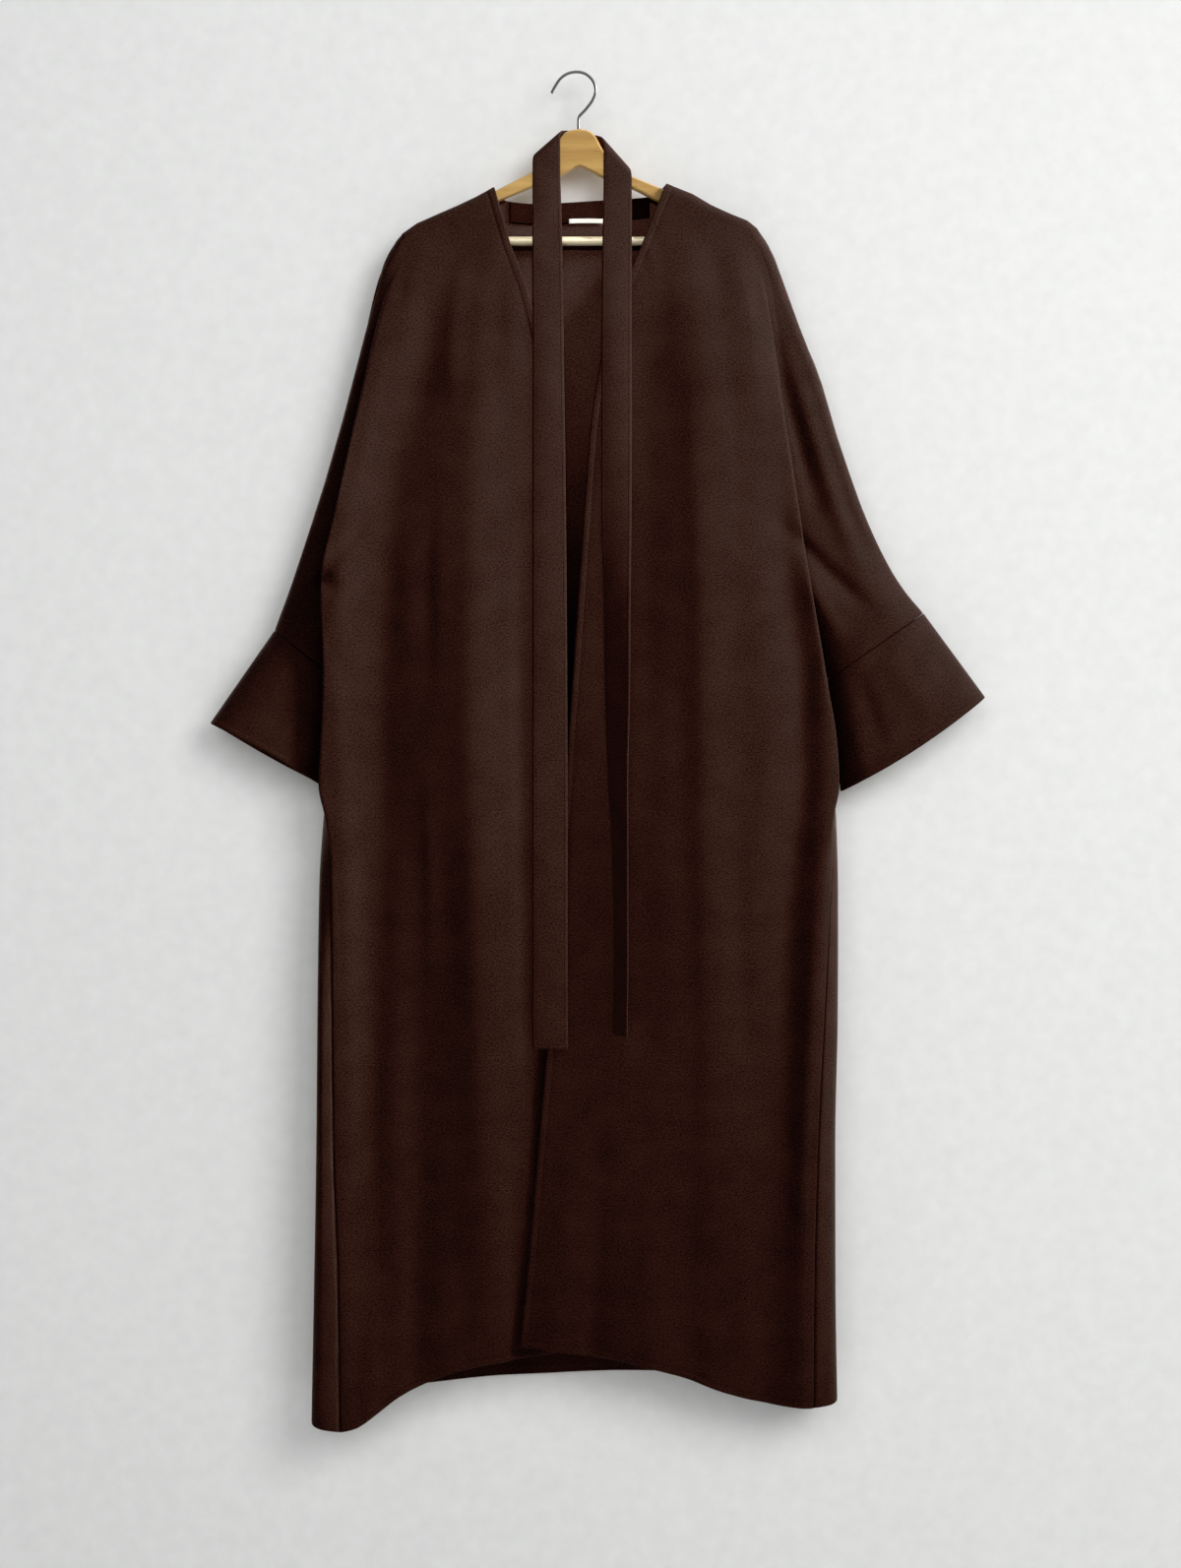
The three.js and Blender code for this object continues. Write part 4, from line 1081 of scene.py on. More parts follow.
RIGHT_FRONT_CREASES = (
    # hollow beside the belt, deepest on the chest and again low down
    Crease(((78, -260), (84, -380), (86, -520), (84, -700), (80, -900), (78, -1120), (70, -1320)),
           (0.0, -1.2, -1.6, -1.6, -1.8, -1.8, -0.8), 24, 0.25),
    # long crest outside it
    Crease(((122, -250), (134, -380), (142, -540), (146, -720), (148, -900), (152, -1120), (156, -1340)),
           (0.0, 2.6, 4.2, 4.6, 4.4, 3.6, 1.4), 26, 0.3),
    # trough inside the side fold
    Crease(
        (
            (226, -420), (240, -560), (258, -700), (262, -820), (252, -960), (246, -1140), (240, -1330),
            (236, -1500),
        ),
        (0.0, -2.8, -4.2, -4.4, -4.6, -4.2, -3.2, -1.2), 15, -0.2,
    ),
    # roll of the side fold
    Crease(((262, -540), (280, -680), (290, -800), (282, -940), (270, -1120), (262, -1320)),
           (0.0, 2.2, 2.8, 2.8, 2.6, 1.2), 10, 0.1),
    # finer breaks on the lit side
    Crease(((176, -360), (186, -500), (190, -640)), (0.0, -0.8, 0.0), 13, 0.3),
    Crease(((206, -560), (214, -720), (216, -900), (214, -1060)), (0.0, 0.8, 1.0, 0.0), 15, -0.2),
    Crease(((112, -620), (116, -780), (114, -960)), (0.0, -0.6, 0.0), 12, 0.2),
    Crease(((186, -860), (190, -1040), (192, -1220)), (0.0, -1.8, 0.0), 13, -0.2),
    # pulls from the hanger's end
    Crease(((176, -182), (192, -260), (204, -350), (214, -440)), (0.0, 1.2, 1.3, 0.0), 18, -0.2),
    Crease(((148, -174), (164, -250), (174, -340), (178, -420)), (0.0, -0.9, -0.8, 0.0), 13, 0.2),
    Crease(((120, -176), (134, -250), (142, -330), (146, -410)), (0.0, 1.0, 1.0, 0.0), 15),
    Crease(((92, -190), (98, -260), (102, -340)), (0.0, -1.0, 0.0), 15, -0.2),
    # short gathers beside the belt at the neck
    Crease(((66, -176), (82, -206), (94, -246)), (0.0, 0.5, 0.0), 7),
    Crease(((66, -196), (78, -226), (84, -262)), (0.0, -0.6, 0.0), 7),
    Crease(((284, -640), (272, -700), (262, -780)), (0.0, -1.4, 0.0), 10, -0.3),
    # low waves toward the hem
    Crease(((-8, -1200), (-16, -1340), (-26, -1480)), (0.0, 2.0, 3.0), 20),
    Crease(((28, -1220), (24, -1360), (16, -1490)), (0.0, -2.0, -3.0), 15, 0.2),
    Crease(((86, -1280), (86, -1400), (82, -1505)), (0.0, 1.6, 2.8), 18),
    Crease(((126, -1260), (128, -1390), (130, -1510)), (0.0, -1.8, -3.0), 15),
    Crease(((196, -1300), (196, -1420), (194, -1530)), (0.0, 1.6, 2.8), 16),
)
LEFT_SLEEVE_CREASES = (
    # soft folds from the shoulder down the sleeve and across from the armpit
    Crease(((-222, -262), (-246, -360), (-262, -450), (-276, -520)), (0.0, -2.7, -3.0, 0.0), 9, 0.2),
    Crease(((-244, -330), (-268, -430), (-294, -530), (-318, -620)), (0.0, 2.4, 3.3, 0.0), 10),
    Crease(((-232, -516), (-262, -548), (-296, -596), (-322, -640)), (0.0, -3.6, -3.3, 0.0), 9, -0.2),
    Crease(((-252, -584), (-276, -622), (-300, -672)), (0.0, 3.0, 0.0), 11),
    Crease(((-318, -580), (-330, -622), (-344, -648)), (0.0, -2.2, 0.0), 9),
)
RIGHT_SLEEVE_CREASES = (
    Crease(((212, -262), (238, -360), (262, -450), (282, -530)), (0.0, -2.7, -3.3, 0.0), 10, 0.2),
    Crease(((244, -320), (276, -420), (306, -520), (340, -610)), (0.0, 2.7, 3.6, 0.0), 12),
    Crease(((222, -520), (262, -552), (306, -596), (352, -640)), (0.0, -3.9, -3.6, 0.0), 10, -0.2),
    Crease(((250, -580), (282, -620), (312, -684)), (0.0, 3.3, 0.0), 12),
    Crease(((352, -566), (372, -600), (392, -632)), (0.0, -2.4, 0.0), 10),
)
BACK_CREASES = (
    # folds that hang from the ends of the hanger and from the shoulder blades
    Crease(((-186, -220), (-202, -420), (-214, -700), (-222, -1000), (-226, -1300), (-224, -1500)),
           (0.0, 2.4, 3.2, 3.4, 3.0, 1.8), 22, 0.2),
    Crease(((-140, -300), (-150, -520), (-158, -820), (-160, -1100), (-156, -1420)),
           (0.0, -2.2, -3.4, -3.2, -1.6), 24, -0.15),
    Crease(((-78, -420), (-92, -700), (-98, -980), (-102, -1260), (-100, -1500)),
           (0.0, 1.6, 2.8, 3.0, 2.0), 26, 0.1),
    Crease(((-22, -560), (-30, -820), (-34, -1100), (-40, -1380), (-38, -1510)),
           (0.0, -1.6, -2.8, -2.6, -2.0), 25),
    Crease(((44, -380), (46, -640), (40, -920), (44, -1220), (50, -1490)),
           (0.0, 1.4, 2.4, 3.0, 2.2), 24, -0.2),
    Crease(((108, -300), (114, -560), (112, -860), (118, -1160), (116, -1440)),
           (0.0, -2.0, -3.0, -3.2, -1.8), 22, 0.2),
    Crease(((190, -214), (198, -420), (202, -700), (196, -980), (204, -1280), (200, -1490)),
           (0.0, 2.6, 3.4, 3.0, 3.2, 1.6), 23, -0.15),
    Crease(((250, -640), (246, -860), (248, -1100), (246, -1340)), (0.0, -1.8, -2.4, 0.0), 13),
    Crease(((-256, -620), (-250, -840), (-252, -1080), (-250, -1320)), (0.0, -1.8, -2.4, 0.0), 13),
    # dip under the neck between the shoulders
    Crease(((-60, -186), (-6, -204), (58, -184)), (0.0, -1.6, 0.0), 15),
    Crease(((-96, -230), (-4, -262), (98, -228)), (0.0, 1.2, 0.0), 20),
)


def clear_of(distance: Array, reach: float) -> Array:
    """Lets creases fade out toward a seam.

    Args:
        distance: distance from the seam.
        reach: how far from it they are whole.

    Returns:
        A share from 0 to 1.
    """
    return ease(distance / reach)


def run_lengths(x: Array, y: Array, start: Values) -> Array:
    """Length along each row of a net, from its first column.

    Args:
        x, y: the rows' points.
        start: what the first column counts as.

    Returns:
        The length at each point.
    """
    steps = np.hypot(np.diff(x, axis=1), np.diff(y, axis=1))
    return start + np.concatenate([np.zeros((len(x), 1)), np.cumsum(steps, axis=1)], axis=1)


def from_front_edge(across: Array, out: Array, z: Array) -> Array:
    """Distance from a panel's front edge, square to it.

    Args:
        across: length along each row.
        out, z: the places, as out and level.

    Returns:
        The distance at each point.
    """
    slope = np.gradient(out[:, 0], z[:, 0])
    return (across - across[:, :1]) / np.sqrt(1.0 + slope * slope)[:, None]


def spaced(knots: Sequence[float], count: int) -> Array:
    """Fills the gaps between given shares with evenly spaced ones.

    Args:
        knots: shares that have to be there, rising.
        count: about how many shares to give back.

    Returns:
        The shares, rising.
    """
    room = 1.0 / count * (knots[-1] - knots[0])
    parts = [
        np.linspace(start, end, max(1, round((end - start) / room)), endpoint=False)
        for start, end in zip(knots[:-1], knots[1:])
    ]
    return np.concatenate(parts + [np.array([knots[-1]])])


EDGE_SHARES = (0.0, 0.006, 0.014, 0.022, 0.029, 0.034, 0.04, 0.05, 0.065)
LAYER_SHARES = tuple(spaced(EDGE_SHARES[-1:] + (0.88,), 50))
FRONT_COLUMNS = Columns.of(
    (Run.LAYER, EDGE_SHARES[:-1] + LAYER_SHARES), (Run.REACH, (0.25, 0.5, 0.75)),
    (Run.FOLD, np.linspace(0.0, 1.0, 13)), (Run.WRAP, (0.34, 0.67)), (Run.PLEAT, np.linspace(0.0, 1.0, 7)),
    (Run.FLAP, (0.5,)), (Run.SEAM, (1.0,)),
)
SLEEVE_SHARES = (
    0.01, 0.025, 0.045, 0.07, 0.1, 0.13, 0.16, 0.2, 0.24, 0.28, 0.32, 0.36, 0.4, 0.44, 0.48, 0.52, 0.56, 0.6,
    0.64, 0.68, 0.72, 0.76, 0.8, 0.835, 0.865, 0.89, 0.91, 0.93, 0.95, 0.965, 0.978, 0.988, 0.995, 1.0,
)
BACK_SIDE_COLUMNS = Columns.of(
    (Run.START, np.linspace(1.0, 0.0, 6)[:-1]), (Run.FOLD, np.linspace(1.0, 0.0, 11)),
    (Run.WRAP, (0.8, 0.6, 0.4, 0.2)), (Run.PLEAT, np.linspace(1.0, 0.0, 9)), (Run.FLAP, (0.67, 0.34)),
    (Run.SEAM, (1.0,)),
)
UPPER_SHARES = np.concatenate(
    [[0.0, 0.0012, 0.003, 0.0056, 0.009, 0.013, 0.018, 0.024, 0.031, 0.04, 0.05], np.linspace(0.062, 1.0, 74)]
)
HEM_STEPS = (34.0, 26.0, 19.0, 14.0, 11.4, 9.4, 8.4, 7.2, 5.4, 3.4, 1.6, 0.0)
LOWER_ROWS = 150
SLEEVE_ROWS = np.linspace(0.0, 1.0, 40)
MIDDLE_SHARES = np.linspace(0.0, 1.0, 74)[1:-1]


@dataclass(frozen=True)
class PanelSizes:
    """What a cloth panel is made with.

    Args:
        side: which side of the coat it lies on.
        body: creases on its body.
        sleeve: creases on its sleeve.
        seed: picks its faint unevenness.
        flat: width and length of the flat cut, in metres; not used.
        area: area of the flat cut, in square metres; not used.
        name: the piece's name.
        node: the node it stands for.
    """

    side: Side
    body: tuple[Crease, ...]
    sleeve: tuple[Crease, ...]
    seed: int
    flat: Pair
    area: float
    name: str
    node: str

    def relief(self, x: Array, z: Array) -> Array:
        """Creases and faint unevenness together."""
        return crease_depth(self.body + self.sleeve, x, z) + unevenness(x, z, self.seed, 0.9, 210.0)


def seam_calm(across: Array, seam: int, z: Array) -> Array:
    """Lets the creases fade toward the top end of the side seam.

    Args:
        across: length along each row.
        seam: the seam's column.
        z: levels.

    Returns:
        A share from 0 to 1.
    """
    near = clear_of(np.abs(across - across[:, seam : seam + 1]), 34.0)
    return mix(1.0, near, ease((-455.0 - z) / 60.0))


def column_levels(
    section: Callable[[Array], Array], line: Callable[[Array], Array], start: float,
    turns: int, pace: float,
) -> Array:
    """Finds the level at which each column of a panel meets a line such as the shoulder or a hem.

    It steps from a first guess to the line's level over the column's own place there, again and
    again.

    Args:
        section: gives X for one row of levels.
        line: gives the line's level at X.
        start: the first guess.
        turns: how many steps.
        pace: how much of each step to take.

    Returns:
        One level a column.
    """
    count = section(np.full((1, 1), start)).shape[1]
    level = np.full((1, count), start)
    for _ in range(turns):
        level = mix(level, line(section(level)), pace)
    return level[0]


def hem_shares(length: float) -> Array:
    """Rows below the underarm, closer together at the hem.

    Args:
        length: length from the underarm to the hem.

    Returns:
        The rows as shares of that length.
    """
    close = 1.0 - np.array(HEM_STEPS) / length
    return np.concatenate([np.linspace(0.0, close[0], LOWER_ROWS)[1:-1], close])


def sleeve_grid(side: Side, facing: int) -> tuple[Array, ...]:
    """Points of a sleeve layer below the underarm, without its first row.

    Args:
        side: the side of the coat.
        facing: -1 in front, 1 behind.

    Returns:
        Out, Y and Z, and the share of the way down and out at each point.
    """
    down, share = np.meshgrid(SLEEVE_ROWS[1:], np.array((0.0,) + SLEEVE_SHARES), indexing="ij")
    out, y, z = sleeve_point(side, down, share, facing)
    press = ease(1.0 - down / 0.35)
    y = np.where(share == 0.0, facing * (HALF_GAP + press), y)
    return out, y, z, down, share


def pin_underarm(net: Net, side: Side, numbers: Array, facing: int) -> None:
    """Turns the edge of a sleeve layer along the underarm so that it butts the other layer.

    Args:
        net: the panel's net.
        side: the side of the coat.
        numbers: the edge's points below the underarm, one for each row.
        facing: -1 in front, 1 behind.
    """
    down = SLEEVE_ROWS[1:]
    outer = sleeve_point(side, down, np.ones_like(down), -1)
    inner = sleeve_point(side, down, np.zeros_like(down), -1)
    width = np.hypot(outer[0] - inner[0], outer[2] - inner[2])
    press = ease(1.0 - down / 0.35)
    rest = np.sqrt(np.maximum(0.0, 1.0 - press * press))
    net.pin(
        numbers, -side.sign * (outer[0] - inner[0]) / width * rest, facing * press,
        -(outer[2] - inner[2]) / width * rest,
    )


@dataclass(frozen=True)
class FrontPanel:
    """A front of the coat with the front layer of its sleeve, cut in one.

    Args:
        sizes: what the panel is made with.
    """

    sizes: PanelSizes

    def build(self, finish: Material) -> Piece:
        """Makes the panel.

        Args:
            finish: its material.

        Returns:
            The piece.
        """
        sizes, side = self.sizes, self.sizes.side
        net = Net(CLOTH)
        whole = FRONT_COLUMNS.with_sleeve()
        seam = len(FRONT_COLUMNS) - 1
        upper, u_upper = self._upper(net, side, whole)
        net.net(upper, u_upper, net_levels(net, upper), side.sign > 0)
        net.pin(upper[-1, seam], side.sign * 0.3, -0.95, 0.0)
        self._lower(net, side, upper[-1, : seam + 1], u_upper[-1, : seam + 1])
        self._sleeve(net, side, upper[-1, seam:], u_upper[-1, seam:])
        return net.build(sizes.name, "cloth", sizes.node, finish)

    def _upper(self, net: Net, side: Side, whole: Columns) -> Section:
        """Adds the part above the underarm.

        Args:
            net: the panel's net.
            side: the side of the coat.
            whole: all of the panel's columns.

        Returns:
            The points' numbers and places across the grain.
        """
        spread = lambda level: np.broadcast_to(level, (level.shape[0], len(whole))).copy()
        section = lambda level: upper_section(side, spread(level), whole, -1)[0]
        first = side.shoulder[0][0]
        top_line = lambda out: shoulder_z(side, np.clip(out, first, 1000.0))
        tops = column_levels(section, top_line, -150.0, 40, 0.7)
        tops[-1] = side.overarm[0][0]
        z = mix(tops[None, :], UNDERARM_Z, UPPER_SHARES[:, None])
        out, y = upper_section(side, z, whole, -1)
        flat_y = np.array(y)
        y = seat_upper(side, out, y, z, -1)
        x = side.sign * out
        across = run_lengths(out, flat_y, out[:, :1])
        edge = from_front_edge(across, out, z)
        seam = len(FRONT_COLUMNS) - 1
        free = clear_of(edge_distance(side, out, z) - 4.0, 30.0) * seam_calm(across, seam, z)
        y -= self._relief(x, z, edge, free)
        y = np.minimum(y, -HALF_GAP)
        y[0, :] = -HALF_GAP
        y[:, -1] = -HALF_GAP
        numbers = net.add(x, y, z, edge)
        for part in (numbers[0, :], numbers[:, -1]):
            net.flatten(part)
            net.butt(part)
        return numbers, across

    def _relief(self, x: Array, z: Array, edge: Array, free: Array) -> Array:
        """How far the cloth stands out from the plain form."""
        return self.sizes.relief(x, z) * free + edge_roll(edge, FRONT_STITCH)

    def _lower(self, net: Net, side: Side, first: Array, u_first: Array) -> None:
        """Adds the body below the underarm.

        Args:
            net: the panel's net.
            side: the side of the coat.
            first: the underarm row's points.
            u_first: their places across the grain.
        """
        columns = FRONT_COLUMNS
        spread = lambda level: np.broadcast_to(level, (level.shape[0], len(columns))).copy()
        section = lambda level: front_body(side, spread(level), columns)[0]
        hems = column_levels(section, lambda out: smooth_at(side.front_hem, out), -1520.0, 12, 1.0)
        hems[-1] = side.seam_hem
        shares = hem_shares(1000.0)[:, None]
        z = mix(UNDERARM_Z, hems[None, :], shares)
        out, y = front_body(side, z, columns)
        y[:, -1] *= ease((UNDERARM_Z - z[:, -1]) / SEAM_EASE)
        across_out, across_back = seam_direction(side, z[:, -1])
        out[:, -1] -= across_out * HALF_GAP
        y[:, -1] -= across_back * HALF_GAP
        across = run_lengths(out, y, out[:, :1])
        edge = np.minimum(from_front_edge(across, out, z), z - hems[None, :])
        free = clear_of(across[:, -1:] - across, 34.0)
        relief = self._relief(side.sign * out, z, edge, free)
        y -= relief * clear_of(across[:, -1:] - across, 8.0)
        numbers = net.add(side.sign * out, y, z, edge)
        net.pin(numbers[:, -1], side.sign * across_back, -across_out, 0.0 * across_out)
        net.butt(numbers[:, -1])
        rows = np.concatenate([first[None, :], numbers])
        u = np.concatenate([u_first[None, :], across])
        net.net(rows, u, net_levels(net, rows), side.sign > 0)

    def _sleeve(self, net: Net, side: Side, first: Array, u_first: Array) -> None:
        """Adds the sleeve below the underarm."""
        add_sleeve(net, side, -1, first, u_first, self.sizes.relief, side.sign > 0)


def add_sleeve(
    net: Net, side: Side, facing: int, first: Array, u_first: Array,
    relief: Callable[[Array, Array], Array], flip: bool,
) -> None:
    """Adds a sleeve layer below the underarm to a panel.

    Args:
        net: the panel's net.
        side: the side of the coat.
        facing: -1 in front, 1 behind.
        first: the points of the row at the underarm, from the seam outward.
        u_first: their places across the grain.
        relief: gives how far the cloth stands out at X and Z.
        flip: whether the outer face looks the other way.
    """
    out, y, z, down, share = sleeve_grid(side, facing)
    x = side.sign * out
    free = clear_of(edge_distance(side, out, z) - 4.0, 26.0) * clear_of(share * 90.0, 22.0)
    free = free * clear_of((1.0 - down) * 190.0, 16.0)
    y = y + facing * relief(x, z) * free
    y = np.where((share == 0.0) | (share == 1.0), y, facing * np.maximum(HALF_GAP, np.abs(y)))
    numbers = net.add(x, y, z, FAR_FROM_EDGE)
    pin_underarm(net, side, numbers[:, 0], facing)
    net.flatten(numbers[:, -1])
    for part in (numbers[:, 0], numbers[:, -1], numbers[-1, :]):
        net.butt(part)
    rows = np.concatenate([first[None, :], numbers])
    across = np.concatenate(
        [u_first[None, :], u_first[0] + out - float(smooth_at(side.front, UNDERARM_Z, SEAM_OUT))],
    )
    net.net(rows, across, net_levels(net, rows), flip)


def net_levels(net: Net, numbers: Array) -> Array:
    """Levels of a net's points, which run along the grain.

    Args:
        net: the net.
        numbers: the points' numbers.

    Returns:
        Z at each point.
    """
    return np.concatenate(net.points)[:, 2][numbers]


def flat_back(share: Array, z: Array) -> Array:
    """Depth of the back's flat middle, which bows by a power of a half sine wave.

    Args:
        share: share of the way across it.
        z: levels.

    Returns:
        Y at each place.
    """
    depths = [smooth_at(side.back, z, START_Y) for side in (LEFT, RIGHT)]
    bow = np.sin(math.pi * share) ** BOW_POWER
    return mix(mix(depths[0], depths[1], share), smooth_at(BACK_MIDDLE, z), bow)


def middle_lengths(x: Array, y: Array) -> Array:
    """Length along each row of the back, from the middle column's own X.

    Args:
        x, y: the rows' points.

    Returns:
        The length at each point.
    """
    across = run_lengths(x, y, 0.0)
    middle = slice(x.shape[1] // 2, x.shape[1] // 2 + 1)
    return across - across[:, middle] + x[:, middle]


def back_top(x: Array) -> Array:
    """Top line of the back: the shoulders at the sides and the neck edge between them.

    Args:
        x: the places.

    Returns:
        The level at each.
    """
    line = smooth_at(BACK_NECK, x)
    line = np.where(x < -LEFT.shoulder[0][0], shoulder_z(LEFT, -x), line)
    return np.where(x > RIGHT.shoulder[0][0], shoulder_z(RIGHT, x), line)


@dataclass(frozen=True)
class BackPanel:
    """The back of the coat with the back layers of both sleeves.

    Args:
        sizes: what the panel is made with.
    """

    sizes: PanelSizes

    def build(self, finish: Material) -> Piece:
        """Makes the panel.

        Args:
            finish: its material.

        Returns:
            The piece.
        """
        net = Net(CLOTH)
        side_count = len(BACK_SIDE_COLUMNS)
        wide = BACK_SIDE_COLUMNS.with_sleeve()
        left_seam = len(SLEEVE_SHARES)
        upper, across = self._upper(net, wide)
        right_seam = upper.shape[1] - 1 - left_seam
        net.net(upper, across, net_levels(net, upper), False)
        net.pin(upper[-1, left_seam], -0.3, 0.95, 0.0)
        net.pin(upper[-1, right_seam], 0.3, 0.95, 0.0)
        body = slice(left_seam, right_seam + 1)
        self._lower(net, upper[-1, body], across[-1, body], side_count)
        left = upper[-1, : left_seam + 1][::-1]
        add_sleeve(net, LEFT, 1, left, -across[-1, : left_seam + 1][::-1], self.sizes.relief, True)
        right = upper[-1, right_seam:]
        add_sleeve(net, RIGHT, 1, right, across[-1, right_seam:], self.sizes.relief, False)
        return net.build(self.sizes.name, "cloth", self.sizes.node, finish)

    def _section(self, z: Array, columns: Columns) -> Section:
        """Section of the whole back.

        Args:
            z: level of each point, in the panel's columns.
            columns: one side's columns, from the flat back outward.

        Returns:
            X and Y of the points.
        """
        count = len(columns)
        section = back_body if Run.SLEEVE not in columns.runs else self._with_sleeve
        left_x, left_y = section(LEFT, z[:, :count][:, ::-1], columns)
        right_x, right_y = section(RIGHT, z[:, -count:], columns)
        level = z[:, count:-count]
        share = np.broadcast_to(MIDDLE_SHARES, level.shape)
        starts = [smooth_at(side.back, level, START_OUT) for side in (LEFT, RIGHT)]
        middle_x, middle_y = mix(-starts[0], starts[1], share), flat_back(share, level)
        x = np.concatenate([-left_x[:, ::-1], middle_x, right_x], axis=1)
        y = np.concatenate([left_y[:, ::-1], middle_y, right_y], axis=1)
        return x, y

    def _with_sleeve(self, side: Side, z: Array, columns: Columns) -> Section:
        """Section of one side above the underarm."""
        return upper_section(side, z, columns, 1)

    def _upper(self, net: Net, wide: Columns) -> Section:
        """Adds the part above the underarm.

        Args:
            net: the panel's net.
            wide: one side's columns, sleeve and all.

        Returns:
            The points' numbers and places across the grain.
        """
        count = 2 * len(wide) + len(MIDDLE_SHARES)
        spread = lambda level: np.broadcast_to(level, (level.shape[0], count)).copy()
        tops = column_levels(lambda level: self._section(spread(level), wide)[0], back_top, -150.0, 40, 0.7)
        tops[0], tops[-1] = LEFT.overarm[0][0], RIGHT.overarm[0][0]
        z = mix(tops[None, :], UNDERARM_Z, UPPER_SHARES[:, None])
        x, flat_y = self._section(z, wide)
        left, out = x < 0, np.abs(x)
        y = np.where(left, seat_upper(LEFT, out, flat_y, z, 1), seat_upper(RIGHT, out, flat_y, z, 1))
        gap = np.where(left, edge_distance(LEFT, out, z), edge_distance(RIGHT, out, z))
        across = middle_lengths(x, flat_y)
        calm = seam_calm(across, len(SLEEVE_SHARES), z)
        calm = calm * seam_calm(across, count - 1 - len(SLEEVE_SHARES), z)
        inside = (x > -LEFT.shoulder[0][0]) & (x < RIGHT.shoulder[0][0])
        edge = np.where(inside, back_top(x) - z, FAR_FROM_EDGE)
        y = y + self.sizes.relief(x, z) * clear_of(gap - 4.0, 30.0) * calm
        y = np.maximum(y, HALF_GAP)
        limits = np.where(x < 0, LEFT.shoulder[0][0], RIGHT.shoulder[0][0]) - 1.5
        on_seam = np.zeros(x.shape, dtype=bool)
        on_seam[0, :] = out[0, :] > limits[0, :]
        on_seam[:, 0] = on_seam[:, -1] = True
        y = np.where(on_seam, HALF_GAP, y)
        numbers = net.add(x, y, z, edge)
        net.flatten(numbers[on_seam])
        net.butt(numbers[on_seam])
        return numbers, across

    def _lower(self, net: Net, first: Array, u_first: Array, side_count: int) -> None:
        """Adds the body below the underarm.

        Args:
            net: the panel's net.
            first: the underarm row's points.
            u_first: their places across the grain.
            side_count: how many columns lie on each side of the flat middle.
        """
        columns = BACK_SIDE_COLUMNS
        count = 2 * side_count + len(MIDDLE_SHARES)
        spread = lambda level: np.broadcast_to(level, (level.shape[0], count)).copy()
        section = lambda level: self._section(spread(level), columns)[0]
        hem_line = lambda x: smooth_at(BACK_HEM, x)
        hems = column_levels(section, hem_line, -1520.0, 12, 1.0)
        ramp = np.arange(side_count) / side_count
        left_end, right_end = hem_line(-LEFT.back[-1][5]), hem_line(RIGHT.back[-1][5])
        hems[:side_count] = mix(LEFT.seam_hem, left_end, ramp)
        hems[-side_count:] = mix(RIGHT.seam_hem, right_end, ramp)[::-1]
        z = mix(UNDERARM_Z, hems[None, :], hem_shares(1010.0)[:, None])
        x, y = self._section(z, columns)
        directions = []
        for column, side in ((0, LEFT), (-1, RIGHT)):
            level = z[:, column]
            across_out, across_back = seam_direction(side, level)
            x[:, column] = side.sign * (smooth_at(side.front, level, SEAM_OUT) + across_out * HALF_GAP)
            y[:, column] = across_back * HALF_GAP - seam_depth(side, level)
            directions.append((column, side.sign * across_back, -across_out))
        across = middle_lengths(x, y)
        from_seam = np.minimum(across - across[:, :1], across[:, -1:] - across)
        edge = z - hems[None, :]
        # on the wraps round the sides the cloth doesn't face straight back, so its folds are weaker
        free = clear_of(from_seam - 6.0, 44.0)
        rolled = edge_roll(edge, BACK_STITCH) * clear_of(from_seam - 30.0, 40.0)
        y = y + self.sizes.relief(x, z) * free + rolled
        # low on the sides the back's seam edge lies a little under the front's, so its rim is hidden
        y = y + SEAM_SINK * np.exp(-((from_seam / 3.5) ** 2)) * ease((-860.0 - z) / 60.0)
        numbers = net.add(x, y, z, edge)
        for column, turn_x, turn_y in directions:
            net.pin(numbers[:, column], turn_x, turn_y, 0.0 * turn_x)
            net.butt(numbers[:, column])
        rows = np.concatenate([first[None, :], numbers])
        u = np.concatenate([u_first[None, :], across])
        net.net(rows, u, net_levels(net, rows), False)


@dataclass(frozen=True)
class CuffSizes:
    """What a cuff is made with.

    Args:
        side: which side of the coat it lies on.
        front, back: creases on its two layers.
        flat: the flat cut all round the tube, in metres: round it and down it; not used.
        name: the piece's name.
        node: the node it stands for.
    """

    side: Side
    front: tuple[Crease, ...]
    back: tuple[Crease, ...]
    flat: Pair
    name: str
    node: str


LEFT_CUFF_CREASES = (
    Crease(((-322, -682), (-346, -708), (-372, -742)), (0.0, 1.4, 0.0), 13),
    Crease(((-306, -712), (-318, -752), (-330, -790)), (-0.6, -2.0, -0.8), 11, 0.2),
    Crease(((-356, -672), (-384, -706), (-408, -744)), (0.0, -1.7, -0.8), 12),
    Crease(((-300, -760), (-312, -794), (-318, -812)), (0.0, 1.7, 1.0), 10),
)
RIGHT_CUFF_CREASES = (
    Crease(((322, -700), (340, -744), (352, -786)), (-0.8, -2.2, -0.8), 12, -0.2),
    Crease(((352, -676), (384, -716), (408, -752)), (0.0, 1.8, 0.6), 14),
    Crease(((392, -650), (420, -690), (446, -728)), (0.0, -1.8, -0.8), 12),
    Crease(((312, -744), (324, -788), (334, -816)), (0.0, 1.6, 1.0), 10),
)
BACK_CUFF_CREASES = (
    Crease(((-318, -700), (-344, -744), (-362, -786)), (0.0, 1.9, 0.8), 13),
    Crease(((-356, -680), (-386, -720), (-404, -752)), (0.0, -1.8, -0.6), 12),
    Crease(((330, -690), (356, -734), (372, -776)), (0.0, 1.9, 0.8), 13),
    Crease(((384, -660), (412, -704), (438, -736)), (0.0, -1.9, -0.6), 12),
)
